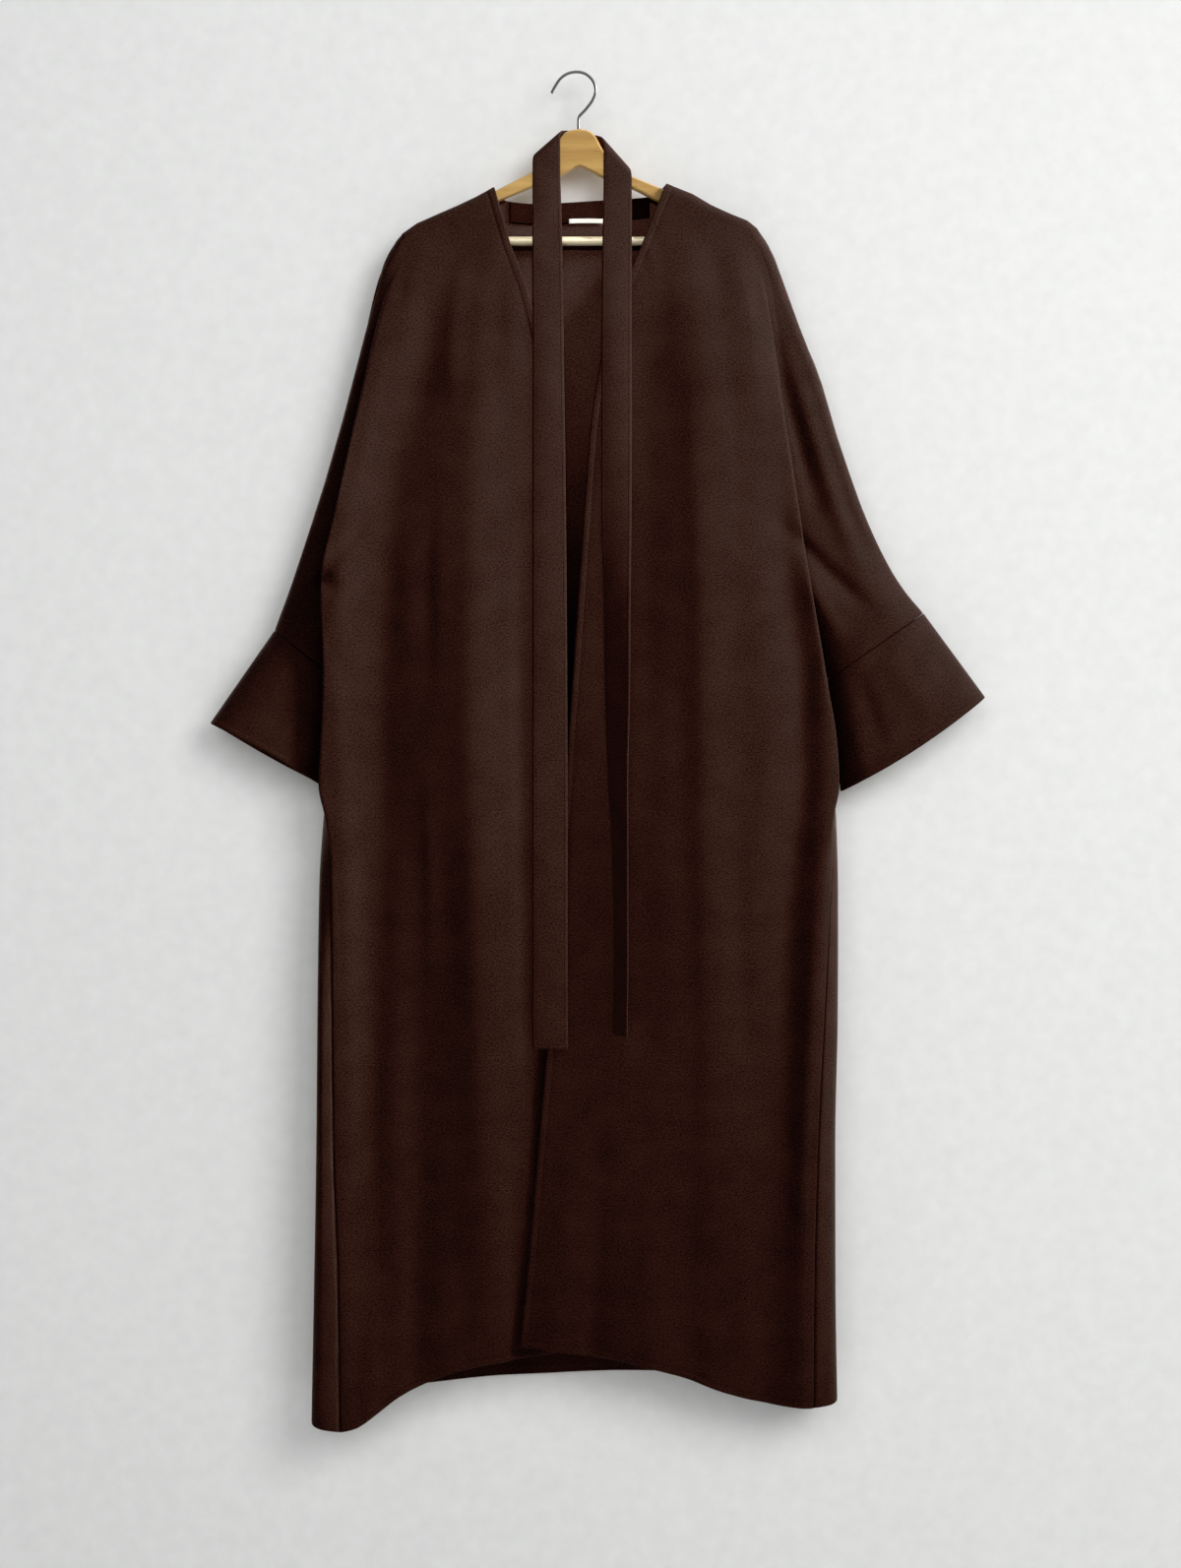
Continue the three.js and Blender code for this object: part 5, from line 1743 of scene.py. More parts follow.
CUFF_ROWS = np.concatenate(
    [[0.0, 0.015, 0.035, 0.06], np.linspace(0.09, 0.86, 26), [0.9, 0.925, 0.945, 0.96, 0.975, 0.988, 1.0]],
)
CUFF_SHARES = 0.5 - 0.5 * np.cos(np.linspace(0.0, math.pi, 49))
CUFF_SEAM_GAP = 0.6


@dataclass(frozen=True)
class Cuff:
    """A flared tube that goes on from the end of the sleeve.

    Args:
        sizes: what the cuff is made with.
    """

    sizes: CuffSizes

    def build(self, finish: Material) -> Piece:
        """Makes the cuff.

        Args:
            finish: its material.

        Returns:
            The piece.
        """
        side = self.sizes.side
        net = Net(CLOTH)
        ends = [sleeve_point(side, np.array(1.0), np.array(share), -1) for share in (1.0, 0.0)]
        outer_start = (float(ends[0][0]), float(ends[0][2]))
        inner_start = (float(ends[1][0]), float(ends[1][2]))
        length = math.hypot(side.cuff_tip[0] - outer_start[0], side.cuff_tip[1] - outer_start[1])
        ring = np.concatenate([CUFF_SHARES, CUFF_SHARES[1:-1][::-1]])
        facing = np.concatenate([-np.ones(len(CUFF_SHARES)), np.ones(len(CUFF_SHARES) - 2)])
        part = mix(CUFF_SEAM_GAP / length, 1.0, CUFF_ROWS)[:, None]
        outer = [mix(outer_start[axis], side.cuff_tip[axis], part) for axis in (0, 1)]
        inner = [mix(inner_start[axis], side.cuff_heel[axis], part) for axis in (0, 1)]
        share = np.broadcast_to(ring, (len(CUFF_ROWS), len(ring)))
        lens = np.sqrt(np.maximum(0.0, 1.0 - np.abs(2 * share - 1) ** LENS_POWER))
        full = np.where(facing < 0, *(mix(SLEEVE_DEPTH[-1][k + 1], CUFF_MOUTH[k], part) for k in (0, 1)))
        bow = np.sin(math.pi * share) * part
        drop = np.where(facing < 0, side.cuff_bow, side.cuff_bow + side.cuff_sag) * bow
        out = mix(inner[0], outer[0], share)
        z = mix(inner[1], outer[1], share) - drop
        y = facing * full * lens
        x = side.sign * out
        free = lens * clear_of((part - CUFF_SEAM_GAP / length) * length, 14.0)
        front = crease_depth(self.sizes.front, x, z)
        back = crease_depth(self.sizes.back, x, z)
        hem_edge = np.broadcast_to((1.0 - part) * length, x.shape)
        y = y + facing * (np.where(facing < 0, front, back) * free + edge_roll(hem_edge, CUFF_STITCH) * lens)
        numbers = net.add(x, y, z, hem_edge)
        rows = np.concatenate([numbers, numbers[:, :1]], axis=1)
        round_x = np.concatenate([x, x[:, :1]], axis=1)
        round_y = np.concatenate([y, y[:, :1]], axis=1)
        round_z = np.concatenate([z, z[:, :1]], axis=1)
        steps = np.sqrt(
            np.diff(round_x, axis=1) ** 2 + np.diff(round_y, axis=1) ** 2 + np.diff(round_z, axis=1) ** 2,
        )
        across = np.concatenate([np.zeros((len(rows), 1)), np.cumsum(steps, axis=1)], axis=1)
        down = np.broadcast_to(-part * length, rows.shape)
        net.net(rows, across, down, side.sign > 0)
        net.butt(numbers[0])
        piece = net.build(self.sizes.name, "cloth", self.sizes.node, finish)
        return piece


def back_depth(x: Array, z: Array) -> Array:
    """Depth of the back panel's middle surface at places near the neck.

    Args:
        x, z: the places, between the two sides of the flat back.

    Returns:
        Y at each.
    """
    starts = [smooth_at(side.back, z, START_OUT) for side in (LEFT, RIGHT)]
    y = flat_back(np.clip((x + starts[0]) / (starts[0] + starts[1]), 0.0, 1.0), z)
    out = np.abs(x)
    return np.where(x < 0, seat_upper(LEFT, out, y, z, 1), seat_upper(RIGHT, out, y, z, 1))


@dataclass(frozen=True)
class NeckSizes:
    """Facing and label inside the back neck.

    Args:
        facing_ends: X of the facing's ends.
        facing_depth: how far it reaches down.
        label_ends: X of the label's ends.
        label_levels: levels of its top and bottom.
    """

    facing_ends: Pair = (-80.0, 84.0)
    facing_depth: float = 24.0
    label_ends: Pair = (-10.0, 30.0)
    label_levels: Pair = (-168.5, -173.5)


@dataclass(frozen=True)
class NeckFinish:
    """The facing inside the back neck and the blank label on its lower edge.

    Args:
        sizes: where they lie.
    """

    sizes: NeckSizes

    def facing(self, finish: Material) -> Piece:
        """Makes the facing.

        Args:
            finish: its material.

        Returns:
            The piece.
        """
        net = Net(FACING_THICK)
        set_in = CLOTH / 2 + GAP + FACING_THICK / 2 + 0.1
        downs = np.concatenate(
            [[0.6, 1.6, 3.2], np.linspace(5.0, 20.0, 9), [21.6, 22.8, self.sizes.facing_depth]],
        )
        down, x = np.meshgrid(downs, np.linspace(*self.sizes.facing_ends, 90), indexing="ij")
        z = back_top(x) - down
        # the facing eases in small waves between its stitches
        wave = 0.35 * np.sin(x / 9.0 + 0.6 * np.sin(x / 31.0)) * ease((down - 6.0) / 10.0)
        y = back_depth(x, z) - set_in - 0.25 - np.abs(wave)
        numbers = net.add(x, y, z, self.sizes.facing_depth - down)
        net.net(numbers, x, z, False)
        piece = net.build("facing", "cloth", "neck_facing", finish)
        return piece

    def label(self, finish: Material) -> Piece:
        """Makes the label.

        Args:
            finish: its material.

        Returns:
            The piece.
        """
        net = Net(LABEL_THICK)
        set_in = CLOTH / 2 + GAP + FACING_THICK + GAP + LABEL_THICK / 2 + 0.9
        top, bottom = self.sizes.label_levels
        z, x = np.meshgrid(
            np.linspace(top, bottom, 7), np.linspace(*self.sizes.label_ends, 25), indexing="ij",
        )
        sag = 0.5 * np.sin((x - x[0, 0]) / 13.0)
        y = back_depth(x, z) - set_in + 0.15 * np.sin(x / 5.0)
        numbers = net.add(x, y, z + sag - 0.3, 40.0)
        net.net(numbers, x, z, False)
        piece = net.build("label", "label", "neck_label", finish)
        return piece


# Belt tails: level, left edge, right edge, left edge forward, right edge forward
LEFT_TAIL = (
    (-1134, -51.5, -11.5, 41.6, 41.6), (-1020, -51.5, -12, 39.2, 39.2), (-900, -51.5, -12, 37, 37),
    (-700, -51.5, -12.5, 33, 33), (-515, -51.5, -14, 29, 29), (-330, -51.5, -16.5, 22, 22),
    (-200, -52, -18.5, 14, 14), (-112, -52, -21, 7.1, 7.1),
)
RIGHT_TAIL = (
    (-1117, 40.5, 56, 45.5, 78), (-1030, 42, 57, 44, 77), (-900, 40, 57, 41.2, 73), (-835, 36, 57, 41.5, 68),
    (-722, 32, 59.5, 38, 58), (-600, 30, 60.5, 34.5, 46), (-515, 28, 61.5, 31, 37),
    (-400, 28, 62, 26.5, 28.5), (-271, 28.5, 62, 19.7, 19.7), (-200, 29.5, 62.5, 14.2, 14.2),
    (-130, 30.8, 62.5, 7.1, 7.1),
)


@dataclass(frozen=True)
class BeltFold:
    """Where the belt goes over the hanger.

    Args:
        axis: a point on the fold's axis, as X and Z.
        along: the axis's direction.
        outward: direction out from the hanger.
        advance: how far the belt slides along the axis on its way round.
        turn: which way it slides.
    """

    axis: Pair
    along: Pair
    outward: Pair
    advance: float
    turn: int


LEFT_FOLD = BeltFold((-46.2, -101.6), (0.753, 0.658), (-0.658, 0.753), 20.0, 1)
RIGHT_FOLD = BeltFold((23.4, -81.0), (0.666, -0.746), (0.746, 0.666), 26.0, -1)


@dataclass(frozen=True)
class BeltSizes:
    """The belt's build.

    Args:
        fold_radius: radius of its folds over the hanger.
        flat: width and length of the made belt, in metres; not used.
        area: its area, in square metres; not used.
        columns: how many strips across.
        cup: how far its middle stands forward of its edges.
    """

    fold_radius: float = 7.1
    flat: Pair = (0.040, 2.11)
    area: float = 0.0765
    columns: int = 16
    cup: float = 1.0


@dataclass(frozen=True)
class Belt:
    """The coat's own belt, laid over the hanger beside the hook with two tails down the front.

    Args:
        sizes: its build.
    """

    sizes: BeltSizes

    @property
    def share(self) -> Array:
        """Shares of the way across, one for each edge of a strip."""
        return np.linspace(0.0, 1.0, self.sizes.columns + 1)

    def _tail(self, table: Table, levels: Array) -> tuple[Array, ...]:
        """Rows of a hanging tail.

        Args:
            table: the tail's table.
            levels: the rows' levels.

        Returns:
            X, Y and Z of the rows, from the first edge to the second.
        """
        z = np.broadcast_to(levels[:, None], (len(levels), len(self.share)))
        x = mix(smooth_at(table, z, 1), smooth_at(table, z, 2), self.share)
        forward = mix(smooth_at(table, z, 3), smooth_at(table, z, 4), self.share)
        return x, -forward - self.sizes.cup * np.sin(math.pi * self.share), z

    def _fold(self, fold: BeltFold, edges: Pair, angles: Array) -> tuple[Array, ...]:
        """Rows of the belt round one fold over the hanger.

        Args:
            fold: the fold.
            edges: X of the belt's edges where the fold starts.
            angles: how far round each row is.

        Returns:
            X, Y and Z of the rows, from the first edge to the second.
        """
        turn = angles[:, None]
        at = mix(edges[0], edges[1], self.share)[None, :]
        level = fold.axis[1] + (at - fold.axis[0]) / fold.along[0] * fold.along[1]
        rise = self.sizes.fold_radius * np.sin(turn)
        slide = fold.advance * turn / math.pi * fold.turn
        x = at + fold.outward[0] * rise + fold.along[0] * slide
        z = level + fold.outward[1] * rise + fold.along[1] * slide
        y = -self.sizes.fold_radius * np.cos(turn) + 0.0 * at
        return x, y, z

    def build(self, finish: Material) -> Piece:
        """Makes the belt.

        Args:
            finish: its material.

        Returns:
            The piece.
        """
        net = Net(BELT_THICK)
        angles = np.linspace(0.0, math.pi, 22)
        left_levels = np.concatenate(
            [[-1134.0, -1132.5, -1130.0, -1126.0, -1121.0], np.linspace(-1114.0, -118.0, 130)],
        )
        right_levels = np.concatenate(
            [np.linspace(-136.0, -1098.0, 126), [-1105.0, -1110.0, -1113.5, -1115.8, -1117.0]],
        )
        left_edges = (LEFT_TAIL[-1][1], LEFT_TAIL[-1][2])
        right_edges = (RIGHT_TAIL[-1][1], RIGHT_TAIL[-1][2])
        flipped = lambda rows: tuple(part[:, ::-1] for part in rows)
        runs = [
            self._tail(LEFT_TAIL, left_levels), self._fold(LEFT_FOLD, left_edges, angles),
            flipped(self._fold(RIGHT_FOLD, right_edges, angles[::-1])),
            flipped(self._tail(RIGHT_TAIL, right_levels)),
        ]
        x, y, z = (np.concatenate([run[axis] for run in runs]) for axis in range(3))
        middle = len(self.share) // 2
        steps = np.sqrt(np.diff(x[:, middle]) ** 2 + np.diff(y[:, middle]) ** 2 + np.diff(z[:, middle]) ** 2)
        along = np.concatenate([[0.0], np.cumsum(steps)])
        # a few long soft bends, and stitched edges that stand a little plump
        bend = 1.1 * np.sin(along / 71.0 + 0.7) * np.sin(along / 173.0) * ease(along / 120.0)
        bend *= ease((along[-1] - along) / 120.0)
        tails = (z[:, middle] < -150.0).astype(float)
        width = np.hypot(np.hypot(x[:, -1] - x[:, 0], y[:, -1] - y[:, 0]), z[:, -1] - z[:, 0])
        from_side = np.minimum(self.share, 1.0 - self.share)[None, :] * width[:, None]
        from_end = np.minimum(along, along[-1] - along)[:, None]
        edge = np.minimum(from_side, from_end)
        y = y - (bend * tails)[:, None] * (1.0 - 0.6 * (2 * self.share - 1) ** 2)[None, :]
        y = y - edge_roll(edge, BELT_STITCH) * 0.5 * tails[:, None]
        numbers = net.add(x, y, z, edge)
        net.net(
            numbers, np.broadcast_to(self.share * 40.0, x.shape), np.broadcast_to(along[:, None], x.shape),
            True,
        )
        piece = net.build("belt_cloth", "cloth", "belt", finish)
        return piece


@dataclass(frozen=True)
class HangerSizes:
    """The hanger's build.

    Args:
        thick: thickness of the board.
        bevel: how far its edges are rounded.
        drop: how far it lies below the shoulder line.
        bar_radius, bar_z, bar_ends: the bar.
        wire_radius: the hook's wire.
    """

    thick: float = 11.0
    bevel: float = 2.5
    drop: float = 4.2
    bar_radius: float = 5.2
    bar_z: float = -196.0
    bar_ends: Pair = (-165.7, 169.7)
    wire_radius: float = 1.75


BOARD_MIDDLE_TOP = (
    (-97, -138.5), (-54, -116.5), (-40, -108), (-31, -97), (-26, -85), (-21, -76), (-15, -70), (-8, -67),
    (1, -65.8), (10, -66.6), (17, -70), (22, -76), (27, -86), (34, -98), (44, -110), (63, -121), (100, -136),
)
BOARD_UNDERSIDE = (
    (205, -204), (170, -204), (170, -184), (94, -150), (63, -134.5), (30, -123), (1, -108), (-21, -121),
    (-54, -133.5), (-94, -150), (-166, -185), (-166, -204), (-199, -204),
)
HOOK_LINE = (
    (-30.5, -23), (-26.5, -15.5), (-20, -6), (-11, 0), (0, 1.75), (10, -1), (18, -9), (21, -20), (17.5, -31),
    (9.5, -42), (2.2, -50), (1, -57), (1, -65.4),
)


def rounded_loop(corners: Sequence[Sequence[float]], radius: float, steps: int) -> Array:
    """Rounds the corners of a closed outline with short quadratic curves.

    Args:
        corners: the outline.
        radius: how far from a corner its round starts, or 0.42 of the side where that is shorter.
        steps: points in each round.

    Returns:
        The rounded outline.
    """
    points = np.asarray(corners, dtype=float)
    before, after = np.roll(points, 1, axis=0), np.roll(points, -1, axis=0)
    start_length = np.linalg.norm(before - points, axis=1, keepdims=True)
    end_length = np.linalg.norm(after - points, axis=1, keepdims=True)
    start = points + (before - points) * np.minimum(radius / start_length, 0.42)
    end = points + (after - points) * np.minimum(radius / end_length, 0.42)
    part = np.linspace(0.0, 1.0, steps)[None, :, None]
    rounds = (1 - part) ** 2 * start[
        :, None,
    ] + 2 * part * (1 - part) * points[:, None] + part**2 * end[:, None]
    return rounds.reshape(-1, 2)


@dataclass(frozen=True)
class Hanger:
    """The wooden board with its bar and the wire hook.

    Args:
        sizes: its build.
    """

    sizes: HangerSizes

    def _outline(self) -> Array:
        """Outline of the board.

        Returns:
            Points as X and Z, round the board.
        """
        drop = self.sizes.drop
        corners = [(-out, float(shoulder_z(LEFT, out)) - drop) for out in (199, 187, 162, 139, 118)]
        corners += list(BOARD_MIDDLE_TOP)
        corners += [(out, float(shoulder_z(RIGHT, out)) - drop) for out in (134, 156, 178, 198)]
        corners += [(205.0, -188.0)] + list(BOARD_UNDERSIDE)
        return rounded_loop(corners, 6.0, 5)

    def board(self, finish: Material) -> Piece:
        """Makes the board: rings that step in and forward by a quarter circle at each face.

        Args:
            finish: its material.

        Returns:
            The piece.
        """
        outline = self._outline()
        count = len(outline)
        before, after = np.roll(outline, 1, axis=0), np.roll(outline, -1, axis=0)
        along = after - before
        inward = np.stack([along[:, 1], -along[:, 0]], axis=1)
        inward /= np.linalg.norm(inward, axis=1, keepdims=True)
        half, bevel = self.sizes.thick / 2, self.sizes.bevel
        angles = np.linspace(0.0, math.pi / 2, 7)
        insets = np.concatenate([bevel * (1 - np.sin(angles)), bevel * (1 - np.cos(angles))])
        depths = np.concatenate([-half + bevel * (1 - np.cos(angles)), half - bevel * (1 - np.sin(angles))])
        rings = outline[None] + inward[None] * insets[:, None, None]
        places = np.empty((len(insets), count, 3))
        places[..., 0], places[..., 2] = rings[..., 0], rings[..., 1]
        places[..., 1] = depths[:, None]
        mesh = bpy.data.meshes.new("hanger_board")
        numbers = np.arange(len(insets) * count).reshape(len(insets), count)
        side = np.stack(
            [numbers[:-1], numbers[1:], np.roll(numbers, -1, axis=1)[1:], np.roll(numbers, -1, axis=1)[:-1]],
            axis=-1,
        ).reshape(-1, 4)
        faces = [tuple(face) for face in side.tolist()]
        faces.append(tuple(numbers[0].tolist()))
        faces.append(tuple(numbers[-1][::-1].tolist()))
        mesh.from_pydata((places.reshape(-1, 3) * MM).tolist(), [], faces)
        mesh.update()
        mesh.shade_smooth()
        mesh.polygons.foreach_set("use_smooth", [True] * (len(faces) - 2) + [False, False])
        piece = add_piece(mesh, finish)
        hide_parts("hanger_body")
        return piece

    def bar(self, finish: Material) -> Piece:
        """Makes the bar between the drops of the board.

        Args:
            finish: its material.

        Returns:
            The piece.
        """
        start, end = self.sizes.bar_ends
        line = np.array([(start, 0.0, self.sizes.bar_z), (end, 0.0, self.sizes.bar_z)])
        stops = np.linspace(0.0, 1.0, 15)[:, None]
        piece = tube("rail", mix(line[0], line[1], stops), self.sizes.bar_radius, 32, finish)
        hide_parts("hanger_bar")
        return piece

    def hook(self, finish: Material) -> Piece:
        """Makes the hook from its middle line.

        Args:
            finish: its material.

        Returns:
            The piece.
        """
        knots = np.array(HOOK_LINE, dtype=float)
        flat = uniform_curve(knots, 12)
        line = np.stack([flat[:, 0], 0.0 * flat[:, 0], flat[:, 1]], axis=1)
        piece = tube("hook_wire", line, self.sizes.wire_radius, 20, finish)
        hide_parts("hanger_hook")
        return piece


def uniform_curve(knots: Array, steps: int) -> Array:
    """Smooth curve through knots whose slope at each is half the way between its neighbours.

    Args:
        knots: the places.
        steps: points from one knot to the next.

    Returns:
        The curve's points.
    """
    slope = np.gradient(knots, axis=0)
    part = np.linspace(0.0, 1.0, steps, endpoint=False)[None, :, None]
    curve = cubic(part, 1.0, (knots[:-1, None], knots[1:, None]), (slope[:-1, None], slope[1:, None]))
    return np.concatenate([curve.reshape(-1, knots.shape[1]), knots[-1:]])


def tube(
    name: str, line: Array, radius: float, sides: int, finish: Material
) -> Piece:
    """Makes a round rod along a line that lies in the plane of the hanger, with closed, eased ends.

    Args:
        name: the piece's name.
        line: its middle line.
        radius: its radius.
        sides: points round it.
        finish: its material.

    Returns:
        The piece.
    """
    along = np.gradient(line, axis=0)
    along /= np.linalg.norm(along, axis=1, keepdims=True)
    across = np.cross(along, np.array([0.0, 1.0, 0.0]))
    angle = np.linspace(0.0, 2 * math.pi, sides, endpoint=False)
    radii = np.full(len(line), radius)
    start, end = line[0], line[-1]
    # two tight rings at each end round off the cut
    line = np.concatenate(
        [[start, start + along[0] * radius * 0.12], line[1:-1], [end - along[-1] * radius * 0.12, end]],
    )
    across = np.concatenate([across[:1], across[:1], across[1:-1], across[-1:], across[-1:]])
    radii = np.concatenate([[radius * 0.88, radius], radii[1:-1], [radius, radius * 0.88]])
    ring = across[
        :, None,
    ] * np.cos(angle)[None, :, None] + np.array([0.0, 1.0, 0.0]) * np.sin(angle)[None, :, None]
    places = (line[:, None] + ring * radii[:, None, None]).reshape(-1, 3)
    numbers = np.arange(len(line) * sides).reshape(len(line), sides)
    around = np.roll(numbers, -1, axis=1)
    faces = np.stack([numbers[:-1], around[:-1], around[1:], numbers[1:]], axis=-1).reshape(-1, 4)
    mesh = bpy.data.meshes.new(name)
    caps = [tuple(numbers[0][::-1].tolist()), tuple(numbers[-1].tolist())]
    mesh.from_pydata((places * MM).tolist(), [], [tuple(face) for face in faces.tolist()] + caps)
    mesh.update()
    mesh.polygons.foreach_set("use_smooth", [True] * len(faces) + [False, False])
    return add_piece(mesh, finish)


class NodeGroup:
    """A shader node group that several finishes share.

    Args:
        name: the group's name.
    """

    def __init__(self, name: str) -> None:
        """Starts the group with its two end nodes."""
        self.tree = bpy.data.node_groups.new(name, "ShaderNodeTree")
        self.source = self.tree.nodes.new("NodeGroupInput")
        self.result = self.tree.nodes.new("NodeGroupOutput")

    def take(self, name: str, kind: str, value: float | tuple[float, ...] | None = None) -> Socket:
        """Adds an input.

        Args:
            name: its name.
            kind: its socket type.
            value: its default.

        Returns:
            The socket inside the group.
        """
        socket = self.tree.interface.new_socket(name=name, in_out="INPUT", socket_type=kind)
        if value is not None:
            socket.default_value = value
        return self.source.outputs[name]

    def give(self, name: str, kind: str, link: Socket) -> None:
        """Adds an output."""
        self.tree.interface.new_socket(name=name, in_out="OUTPUT", socket_type=kind)
        self.tree.links.new(link, self.result.inputs[name])

    def math(self, kind: str, *values: Socket | float, clamp: bool = False) -> Socket:
        """Adds a sum."""
        return math_node(self.tree, kind, *values, clamp=clamp)

    def weigh(self, total: Socket | float, *shares: tuple[Socket, float]) -> Socket | float:
        """Adds up values, each with its weight.

        Args:
            total: what to start from.
            shares: the values and their weights.

        Returns:
            The sum.
        """
        for value, weight in shares:
            total = self.math("MULTIPLY_ADD", value, weight, total)
        return total


def math_node(
    tree: Tree, kind: str, *values: Socket | float, clamp: bool = False
) -> Socket:
    """Adds a Math node.

    Args:
        tree: the node tree.
        kind: the operation.
        values: its inputs, each a socket or a number.
        clamp: whether the result is held from 0 to 1.

    Returns:
        The result.
    """
    node = tree.nodes.new("ShaderNodeMath")
    node.operation = kind
    node.use_clamp = clamp
    for socket, value in zip(node.inputs, values):
        if isinstance(value, Socket):
            tree.links.new(value, socket)
        else:
            socket.default_value = value
    return node.outputs[0]


def noise_node(
    tree: Tree, place: Socket, scale: float, detail: float = 2.0,
    stretch: Triple = (1.0, 1.0, 1.0),
) -> Socket:
    """Adds a noise texture.

    Args:
        tree: the node tree.
        place: where it is read.
        scale: its scale.
        detail: its detail.
        stretch: how much finer it is along each axis.

    Returns:
        Its value, from 0 to 1.
    """
    mapping = tree.nodes.new("ShaderNodeVectorMath")
    mapping.operation = "MULTIPLY"
    mapping.inputs[1].default_value = stretch
    tree.links.new(place, mapping.inputs[0])
    node = tree.nodes.new("ShaderNodeTexNoise")
    node.inputs["Scale"].default_value = scale
    node.inputs["Detail"].default_value = detail
    tree.links.new(mapping.outputs[0], node.inputs["Vector"])
    return node.outputs["Fac"]


def mix_colours(
    tree: Tree, part: Socket, start: Socket | tuple[float, ...],
    end: Socket | tuple[float, ...],
) -> Socket:
    """Adds a Mix node for colours.

    Args:
        tree: the node tree.
        part: how far from start to end.
        start, end: the colours, each a socket or four numbers.

    Returns:
        The colour.
    """
    node = tree.nodes.new("ShaderNodeMix")
    node.data_type = "RGBA"
    tree.links.new(part, node.inputs["Factor"])
    colours = [socket for socket in node.inputs if socket.type == "RGBA"]
    for socket, value in zip(colours, (start, end)):
        if isinstance(value, Socket):
            tree.links.new(value, socket)
        else:
            socket.default_value = value
    return [socket for socket in node.outputs if socket.type == "RGBA"][0]


def felt_group() -> Tree:
    """Makes the felted cloth's group: heather tone, nap, weave and a pinched line of stitches.

    Returns:
        The group's tree.
    """
    group = NodeGroup("felted_cloth")
    tree = group.tree
    place = group.take("Grain", "NodeSocketVector")
    edge = group.take("Edge", "NodeSocketFloat", FAR_FROM_EDGE)
    dark = group.take("Dark", "NodeSocketColor", (0.02, 0.01, 0.01, 1.0))
    light = group.take("Light", "NodeSocketColor", (0.05, 0.03, 0.02, 1.0))
    stitch = group.take("Stitch In", "NodeSocketFloat", FRONT_STITCH)
    # heather: short fibres in two lengths, lying mostly along the grain
    fibres = noise_node(tree, place, 1150.0, 1.0, (1.0, 0.5, 1.0))
    flecks = noise_node(tree, place, 560.0, 2.0, (0.7, 1.0, 1.0))
    clouds = noise_node(tree, place, 26.0, 3.0)
    drift = noise_node(tree, place, 5.0, 2.0)
    tone = group.weigh(-0.18, (fibres, 1.35), (flecks, 0.95), (clouds, 0.34), (drift, 0.16))
    tone = group.math("SUBTRACT", tone, 0.87, clamp=True)
    # crosswise and lengthwise yarns of the weave, half hidden by the nap
    split = tree.nodes.new("ShaderNodeSeparateXYZ")
    tree.links.new(place, split.inputs[0])
    warp = group.math("SINE", group.math("MULTIPLY", split.outputs[0], 2 * math.pi / 0.0016))
    weft = group.math("SINE", group.math("MULTIPLY", split.outputs[1], 2 * math.pi / 0.0018))
    weave = group.math("MULTIPLY", warp, weft)
    # the stitches: a narrow line at its distance from the edge, broken along its length
    offset = group.math("ABSOLUTE", group.math("SUBTRACT", edge, stitch))
    line = group.math("SUBTRACT", 1.0, group.math("DIVIDE", offset, 0.75), clamp=True)
    along = group.math("ADD", split.outputs[0], split.outputs[1])
    beat = group.math("SINE", group.math("MULTIPLY", along, 2 * math.pi / 0.0032))
    broken = group.math("MULTIPLY_ADD", beat, 0.3, 0.7, clamp=True)
    seam = group.math("MULTIPLY", line, broken)
    colour = mix_colours(tree, tone, dark, light)
    shaded = mix_colours(tree, group.math("MULTIPLY", seam, 0.42), colour, (0.006, 0.003, 0.002, 1.0))
    group.give("Colour", "NodeSocketColor", shaded)
    rough = group.math("MULTIPLY_ADD", flecks, -0.16, 0.94)
    group.give("Roughness", "NodeSocketFloat", rough)
    height = group.weigh(0.0, (fibres, 0.9), (flecks, 1.0), (clouds, 0.7), (weave, 0.16), (seam, -2.6))
    group.give("Height", "NodeSocketFloat", height)
    return tree


def wood_group() -> Tree:
    """Makes the varnished wood's group: long rings, fine pores and short dark grain marks.

    Returns:
        The group's tree.
    """
    group = NodeGroup("varnished_wood")
    tree = group.tree
    place = group.take("Place", "NodeSocketVector")
    dark = group.take("Dark", "NodeSocketColor", (0.4, 0.2, 0.06, 1.0))
    light = group.take("Light", "NodeSocketColor", (0.7, 0.45, 0.2, 1.0))
    bands = noise_node(tree, place, 34.0, 3.0, (0.16, 1.0, 1.9))
    pores = noise_node(tree, place, 420.0, 2.0, (0.09, 1.0, 1.0))
    marks = noise_node(tree, place, 190.0, 1.0, (0.22, 1.0, 1.0))
    short = group.math("MULTIPLY", group.math("SUBTRACT", marks, 0.655, clamp=True), 9.0, clamp=True)
    tone = group.math("MULTIPLY_ADD", bands, 1.5, -0.3, clamp=True)
    tone = group.math("MULTIPLY_ADD", pores, -0.3, group.math("ADD", tone, 0.12), clamp=True)
    colour = mix_colours(tree, tone, dark, light)
    marked = mix_colours(tree, group.math("MULTIPLY", short, 0.6), colour, (0.16, 0.065, 0.02, 1.0))
    group.give("Colour", "NodeSocketColor", marked)
    group.give("Roughness", "NodeSocketFloat", group.math("MULTIPLY_ADD", pores, 0.16, 0.3))
    group.give("Height", "NodeSocketFloat", group.math("ADD", pores, group.math("MULTIPLY", short, -0.6)))
    return tree


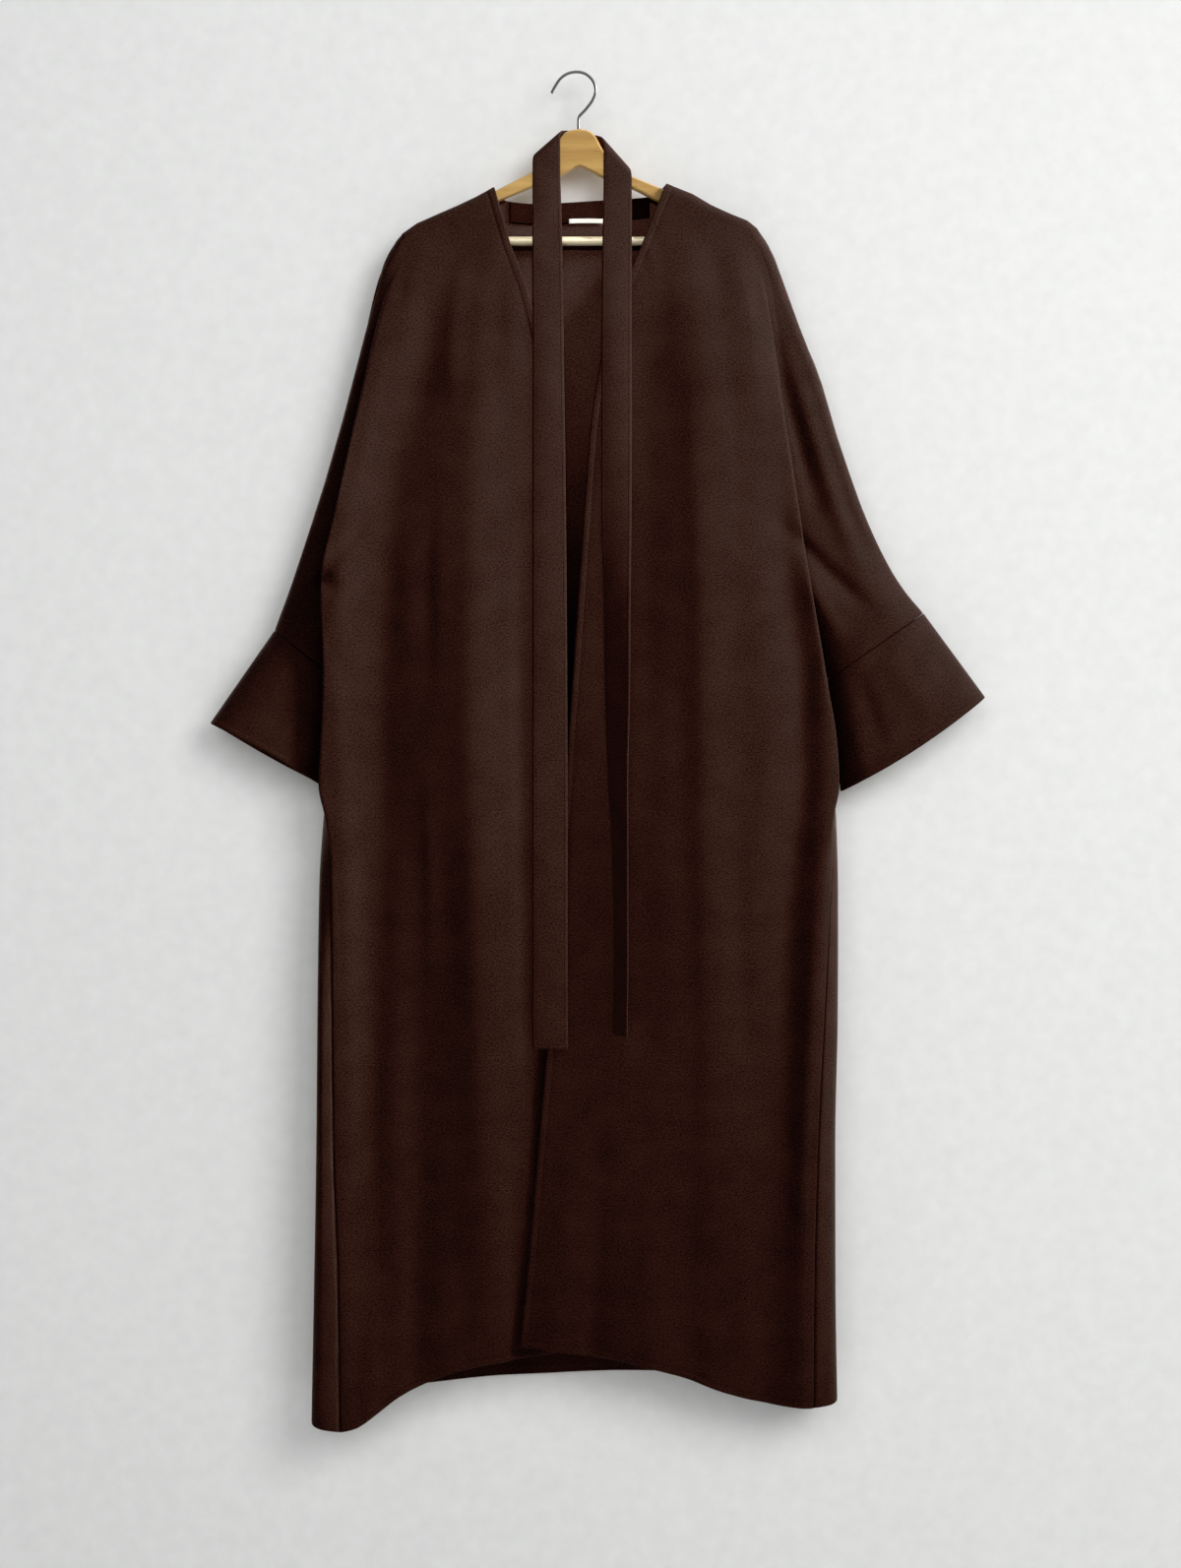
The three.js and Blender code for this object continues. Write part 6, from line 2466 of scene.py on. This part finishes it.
@dataclass(frozen=True)
class ClothFinish:
    """Felted cloth.

    Args:
        name: the material's name.
        dark, light: the two ends of its heather tone.
        stitch: how far in from the free edges the stitches lie, in millimetres.
        bump: strength of the nap.
        sheen: weight of the fuzz that catches light at a slant.
        sheen_rough: how soft that is.
        sheen_tint: its colour.
    """

    name: str
    dark: Tint
    light: Tint
    stitch: float = FRONT_STITCH
    bump: float = 0.35
    sheen: float = 0.08
    sheen_rough: float = 0.45
    sheen_tint: Tint = (0.62, 0.42, 0.34, 1.0)

    def make(self, group: Tree) -> Material:
        """Makes the material.

        Args:
            group: the felted cloth's group.

        Returns:
            The material.
        """
        material, shader, tree = new_material(self.name)
        felt = use_group(tree, shader, group, (self.dark, self.light), (self.bump, 0.0004))
        grain = tree.nodes.new("ShaderNodeUVMap")
        grain.uv_map = "grain"
        edge = tree.nodes.new("ShaderNodeAttribute")
        edge.attribute_name = "edge_mm"
        tree.links.new(grain.outputs["UV"], felt.inputs["Grain"])
        tree.links.new(edge.outputs["Fac"], felt.inputs["Edge"])
        felt.inputs["Stitch In"].default_value = self.stitch
        shader.inputs["Sheen Weight"].default_value = self.sheen
        shader.inputs["Sheen Roughness"].default_value = self.sheen_rough
        shader.inputs["Sheen Tint"].default_value = self.sheen_tint
        shader.inputs["Specular IOR Level"].default_value = 0.1
        return material


@dataclass(frozen=True)
class WoodFinish:
    """Varnished wood.

    Args:
        name: the material's name.
        dark, light: the two ends of its tone.
        coat: weight of the varnish.
    """

    name: str
    dark: Tint
    light: Tint
    coat: float

    def make(self, group: Tree) -> Material:
        """Makes the material.

        Args:
            group: the varnished wood's group.

        Returns:
            The material.
        """
        material, shader, tree = new_material(self.name)
        wood = use_group(tree, shader, group, (self.dark, self.light), (0.12, 0.0003))
        place = tree.nodes.new("ShaderNodeTexCoord")
        tree.links.new(place.outputs["Object"], wood.inputs["Place"])
        shader.inputs["Coat Weight"].default_value = self.coat
        shader.inputs["Coat Roughness"].default_value = 0.16
        return material


@dataclass(frozen=True)
class PlainFinish:
    """One plain tone with a faint fine roughness, for the wire, the label and the stage.

    Args:
        name: the material's name.
        colour: its tone.
        rough: its roughness.
        metal: how metallic it is.
        scale: scale of its fine unevenness.
        bump: strength of that.
    """

    name: str
    colour: Tint
    rough: float
    metal: float = 0.0
    scale: float = 700.0
    bump: float = 0.05

    def make(self) -> Material:
        """Makes the material.

        Returns:
            The material.
        """
        material, shader, tree = new_material(self.name)
        place = tree.nodes.new("ShaderNodeTexCoord")
        fine = noise_node(tree, place.outputs["Object"], self.scale, 2.0)
        lighter = tuple(min(1.0, part * 1.06) for part in self.colour[:3]) + (1.0,)
        darker = tuple(part * 0.94 for part in self.colour[:3]) + (1.0,)
        tree.links.new(mix_colours(tree, fine, darker, lighter), shader.inputs["Base Color"])
        rough = math_node(tree, "MULTIPLY_ADD", fine, 0.1, self.rough - 0.05, clamp=True)
        tree.links.new(rough, shader.inputs["Roughness"])
        add_bump(tree, shader, fine, self.bump, 0.0002)
        shader.inputs["Metallic"].default_value = self.metal
        return material


def new_material(name: str) -> tuple[Material, bpy.types.Node, Tree]:
    """Makes a material with a plain Principled shader.

    Args:
        name: its name.

    Returns:
        The material, its shader and its node tree.
    """
    material = bpy.data.materials.new(name)
    material.use_nodes = True
    tree = material.node_tree
    shader = next(node for node in tree.nodes if node.type == "BSDF_PRINCIPLED")
    return material, shader, tree


def add_bump(
    tree: Tree, shader: bpy.types.Node, height: Socket, strength: float,
    distance: float,
) -> None:
    """Leads a height into a shader's normal.

    Args:
        tree: the node tree.
        shader: the shader.
        height: the height.
        strength, distance: how strong it is, and how deep in metres.
    """
    bump = tree.nodes.new("ShaderNodeBump")
    bump.inputs["Strength"].default_value = strength
    bump.inputs["Distance"].default_value = distance
    tree.links.new(height, bump.inputs["Height"])
    tree.links.new(bump.outputs["Normal"], shader.inputs["Normal"])


def use_group(
    tree: Tree, shader: bpy.types.Node, group: Tree, tones: tuple[Tint, Tint], bump: Pair,
) -> bpy.types.Node:
    """Puts a finish's group in a material and leads its results into the shader.

    Args:
        tree, shader: the material's tree and shader.
        group: the finish's group.
        tones: the two ends of its tone.
        bump: how strong its relief is, and how deep in metres.

    Returns:
        The group's node.
    """
    node = tree.nodes.new("ShaderNodeGroup")
    node.node_tree = group
    node.inputs["Dark"].default_value, node.inputs["Light"].default_value = tones
    tree.links.new(node.outputs["Colour"], shader.inputs["Base Color"])
    tree.links.new(node.outputs["Roughness"], shader.inputs["Roughness"])
    add_bump(tree, shader, node.outputs["Height"], *bump)
    return node


class Onto(Enum):
    """What a light falls on."""

    ALL = "all"
    COAT = "coat"
    INSIDE = "inside"
    PAST_BELT = "past_belt"
    STAGE = "stage"


@dataclass(frozen=True)
class Lamp:
    """A soft light: a rectangle, or a beam that fades out toward its edge.

    Args:
        name: its name.
        place: where it stands, in metres.
        aim: what it points at, in metres.
        size: width and height, in metres.
        power: in watts.
        colour: its tint.
        onto: what it falls on.
        cone: width of its soft beam in degrees; none makes it a rectangle.
    """

    name: str
    place: Triple
    aim: Triple
    size: Pair
    power: float
    colour: Triple = (1.0, 1.0, 1.0)
    onto: Onto = Onto.ALL
    cone: float = 0.0


@dataclass(frozen=True)
class StudioSizes:
    """The room, in metres.

    Args:
        wall_y: where the wall's face lies, just behind the coat.
        wall_size: width and height of the wall.
        floor_z: level of the floor.
        lens: focal length that frames the coat as in the photograph.
        camera: where the camera stands.
        air: strength of the even light from all round.
    """

    wall_y: float = 0.0385
    wall_size: Pair = (9.0, 6.0)
    floor_z: float = -1.86
    lens: float = 51.1
    camera: Triple = (0.015, -2.6, -0.83)
    air: float = 0.14


LAMPS = (
    Lamp(
        "window", (3.05, -1.15, 1.2), (0.0, 0.0, -0.4), (1.1, 1.1), 800.0, (1.0, 0.985, 0.965),
        Onto.PAST_BELT, 36.0,
    ),
    Lamp("ceiling", (0.2, -0.65, 0.95), (0.0, 0.0, -0.3), (1.4, 0.8), 5.0, (1.0, 0.99, 0.975), Onto.COAT),
    Lamp(
        "neck_fill", (0.0, -1.9, 0.4), (0.02, 0.0, -0.25), (0.3, 0.3), 105.0, (1.0, 0.99, 0.975), Onto.INSIDE,
        20.0,
    ),
    Lamp("wall_window", (1.9, -3.0, 0.6), (0.0, 0.0, -0.8), (1.8, 1.8), 76.0, (1.0, 1.0, 0.99), Onto.STAGE),
    Lamp("wall_wash", (-0.4, -4.0, 0.5), (0.0, 0.0, -0.8), (3.0, 2.4), 68.0, (1.0, 1.0, 0.99), Onto.STAGE),
    Lamp("behind_left", (-1.9, 2.4, 0.6), (0.0, 0.0, -0.8), (1.8, 2.4), 44.0, onto=Onto.COAT),
    Lamp("behind_right", (2.0, 2.3, 0.5), (0.0, 0.0, -0.8), (1.2, 1.8), 84.0, onto=Onto.COAT),
)

# Pieces that show through the open neck
NECK_VIEW = ("coat_back", "label", "rail")

# Tone curve of the picture in linear light, as pairs of in and out: deep browns fall off quicker
TONE_CURVE = (
    (0.0, 0.0), (0.004, 0.0009), (0.008, 0.0028), (0.012, 0.0062), (0.016, 0.0112), (0.02, 0.0176),
    (0.03, 0.0305), (0.06, 0.06), (1.0, 1.0),
)


class Studio:
    """Floor, wall, lights and camera.

    Args:
        sizes: the room.
    """

    def __init__(self, sizes: StudioSizes) -> None:
        """Makes a collection for each kind of thing that has lights of its own."""
        self.sizes = sizes
        apart = (onto for onto in Onto if onto is not Onto.ALL)
        self.receivers = {onto: bpy.data.collections.new(f"lit_{onto.value}") for onto in apart}

    def plane(self, name: str, corners: Sequence[Triple], finish: Material) -> Piece:
        """Makes a flat four-sided face for the stage.

        Args:
            name: its name.
            corners: its corners, in metres.
            finish: its material.

        Returns:
            The object.
        """
        mesh = bpy.data.meshes.new(name)
        mesh.from_pydata([tuple(corner) for corner in corners], [], [(0, 1, 2, 3)])
        mesh.update()
        mesh.materials.append(finish)
        surface = bpy.data.objects.new(name, mesh)
        bpy.context.scene.collection.objects.link(surface)
        self.receivers[Onto.STAGE].objects.link(surface)
        return surface

    def build(self, wall: PlainFinish, floor: PlainFinish) -> None:
        """Makes the stage, the lights and the camera.

        Args:
            wall, floor: their finishes.
        """
        self.camera()
        sizes = self.sizes
        half = sizes.wall_size[0] / 2
        low, high = sizes.floor_z, sizes.floor_z + sizes.wall_size[1]
        backdrop = self.plane(
            "backdrop",
            [
                (-half, sizes.wall_y, low), (half, sizes.wall_y, low), (half, sizes.wall_y, high),
                (-half, sizes.wall_y, high),
            ],
            one_sided(wall.make()),
        )
        backdrop.visible_shadow = False
        self.plane(
            "floor", [(-half, -7.0, low), (half, -7.0, low), (half, 7.0, low), (-half, 7.0, low)],
            floor.make(),
        )
        for lamp in LAMPS:
            self.lamp(lamp)
        world = bpy.context.scene.world or bpy.data.worlds.new("studio")
        bpy.context.scene.world = world
        world.use_nodes = True
        background = next(node for node in world.node_tree.nodes if node.type == "BACKGROUND")
        background.inputs["Color"].default_value = (0.93, 0.96, 1.0, 1.0)
        background.inputs["Strength"].default_value = sizes.air
        self.grade()

    def lamp(self, lamp: Lamp) -> None:
        """Makes one light.

        Args:
            lamp: the light.
        """
        if lamp.cone:
            data = bpy.data.lights.new(lamp.name, "SPOT")
            data.spot_size, data.spot_blend = math.radians(lamp.cone), 1.0
            data.shadow_soft_size = lamp.size[0] / 2
        else:
            data = bpy.data.lights.new(lamp.name, "AREA")
            data.shape = "RECTANGLE"
            data.size, data.size_y = lamp.size
        data.energy = lamp.power
        data.color = lamp.colour
        light = bpy.data.objects.new(lamp.name, data)
        place = np.array(lamp.place)
        towards = np.array(lamp.aim) - place
        light.location = lamp.place
        # the light looks along its own -Z
        flat = math.hypot(towards[0], towards[1])
        light.rotation_euler = (
            math.atan2(flat, -towards[2]), 0.0, math.atan2(towards[1], towards[0]) - math.pi / 2,
        )
        bpy.context.scene.collection.objects.link(light)
        if lamp.onto is Onto.PAST_BELT:
            # the belt hangs close, so only its thin soft shadow from the other lights is kept
            light.light_linking.receiver_collection = self.receivers[Onto.COAT]
            light.light_linking.blocker_collection = self.receivers[Onto.PAST_BELT]
        elif lamp.onto in self.receivers:
            light.light_linking.receiver_collection = self.receivers[lamp.onto]

    def grade(self) -> None:
        """Sets how the picture's tones are shown: a plain transform with a soft toe."""
        view = bpy.context.scene.view_settings
        view.view_transform = "Standard"
        view.use_curve_mapping = True
        curve = view.curve_mapping.curves[3]
        for point, (start, end) in zip(curve.points, (TONE_CURVE[0], TONE_CURVE[-1])):
            point.location = (start, end)
        for start, end in TONE_CURVE[1:-1]:
            curve.points.new(start, end)
        for point in curve.points:
            point.handle_type = "VECTOR"
        view.curve_mapping.update()

    def light_coat(self) -> None:
        """Puts every made piece under the coat's lights, and what shows in the neck under its own fill."""
        stage = set(self.receivers[Onto.STAGE].objects)
        for piece in bpy.context.scene.objects:
            if piece.type != "MESH" or piece in stage:
                continue
            self.receivers[Onto.COAT].objects.link(piece)
            if not piece.name.startswith("belt"):
                self.receivers[Onto.PAST_BELT].objects.link(piece)
            if piece.name.startswith(NECK_VIEW):
                self.receivers[Onto.INSIDE].objects.link(piece)

    def camera(self) -> None:
        """Makes the camera at the photograph's angle: level, straight in front."""
        data = bpy.data.cameras.new("camera")
        data.lens = self.sizes.lens
        data.sensor_width = 36.0
        data.clip_start, data.clip_end = 0.05, 60.0
        camera = bpy.data.objects.new("camera", data)
        camera.location = self.sizes.camera
        camera.rotation_euler = (math.pi / 2, 0.0, 0.0)
        bpy.context.scene.collection.objects.link(camera)
        bpy.context.scene.camera = camera


def one_sided(material: Material) -> Material:
    """Lets a stage surface be seen through from behind, so that views of the back stay clear.

    Args:
        material: the surface's material.

    Returns:
        The same material.
    """
    tree = material.node_tree
    shader = next(node for node in tree.nodes if node.type == "BSDF_PRINCIPLED")
    output = next(node for node in tree.nodes if node.type == "OUTPUT_MATERIAL")
    side = tree.nodes.new("ShaderNodeNewGeometry")
    clear = tree.nodes.new("ShaderNodeBsdfTransparent")
    choice = tree.nodes.new("ShaderNodeMixShader")
    tree.links.new(side.outputs["Backfacing"], choice.inputs[0])
    tree.links.new(shader.outputs[0], choice.inputs[1])
    tree.links.new(clear.outputs[0], choice.inputs[2])
    tree.links.new(choice.outputs[0], output.inputs["Surface"])
    return material


@dataclass(frozen=True)
class Finishes:
    """All finishes of the object and the stage."""

    cloth: ClothFinish = ClothFinish(
        "felted_brown", (0.013, 0.0056, 0.0042, 1.0), (0.078, 0.0375, 0.0295, 1.0),
    )
    # the belt is the coat's own cloth; its lighter tones are painted light, standing in for the light it
    # catches as it hangs forward of the fronts
    belt: ClothFinish = ClothFinish(
        "belt_brown", (0.016, 0.007, 0.0053, 1.0), (0.092, 0.0445, 0.036, 1.0), stitch=BELT_STITCH, sheen=0.1
    )
    # the facing is the coat's own cloth; its darker tones are painted shade for the shade inside the back
    # neck
    facing: ClothFinish = ClothFinish(
        "facing_brown", (0.014, 0.005, 0.0034, 1.0), (0.05, 0.022, 0.016, 1.0), stitch=FACING_STITCH,
        sheen=0.06,
    )
    label: PlainFinish = PlainFinish("blank_label", (0.72, 0.68, 0.62, 1.0), 0.55)
    wood: WoodFinish = WoodFinish("honey_wood", (0.44, 0.235, 0.06, 1.0), (0.78, 0.5, 0.165, 1.0), 0.4)
    pale_wood: WoodFinish = WoodFinish("pale_wood", (0.44, 0.37, 0.23, 1.0), (0.62, 0.53, 0.36, 1.0), 0.1)
    steel: PlainFinish = PlainFinish("drawn_steel", (0.27, 0.27, 0.265, 1.0), 0.34, metal=1.0, scale=1800.0)
    wall: PlainFinish = PlainFinish("pale_wall", (0.785, 0.79, 0.785, 1.0), 0.9, scale=60.0)
    floor: PlainFinish = PlainFinish("pale_floor", (0.74, 0.74, 0.73, 1.0), 0.85, scale=60.0)


def main() -> None:
    """Builds the coat, its belt, the hanger and the stage."""
    logging.basicConfig(level=logging.INFO, format="%(message)s")
    finishes = Finishes()
    studio = Studio(StudioSizes())
    studio.build(finishes.wall, finishes.floor)
    felt, grained = felt_group(), wood_group()
    cloth = finishes.cloth.make(felt)
    hanger = Hanger(HangerSizes())
    hanger.board(finishes.wood.make(grained))
    hanger.bar(finishes.pale_wood.make(grained))
    hanger.hook(finishes.steel.make())
    panels = (
        (
            FrontPanel,
            PanelSizes(
                LEFT, LEFT_FRONT_CREASES, LEFT_SLEEVE_CREASES, 11, (0.372, 1.44), 0.405, "coat_front_left",
                "front_left",
            ),
        ),
        (
            FrontPanel,
            PanelSizes(
                RIGHT, RIGHT_FRONT_CREASES, RIGHT_SLEEVE_CREASES, 23, (0.482, 1.42), 0.445,
                "coat_front_right", "front_right",
            ),
        ),
        (BackPanel, PanelSizes(RIGHT, BACK_CREASES, (), 37, (0.93, 1.43), 0.965, "coat_back", "back")),
    )
    for kind, sizes in panels:
        piece = kind(sizes).build(cloth)
    for cuff in (
        CuffSizes(LEFT, LEFT_CUFF_CREASES, BACK_CUFF_CREASES, (0.31, 0.107), "sleeve_cuff_left", "cuff_left"),
        CuffSizes(
            RIGHT, RIGHT_CUFF_CREASES, BACK_CUFF_CREASES, (0.40, 0.107), "sleeve_cuff_right", "cuff_right",
        ),
    ):
        Cuff(cuff).build(cloth)
    neck = NeckFinish(NeckSizes())
    neck.facing(finishes.facing.make(felt))
    neck.label(finishes.label.make())
    Belt(BeltSizes()).build(finishes.belt.make(felt))
    studio.light_coat()


if __name__ == "__main__":
    main()
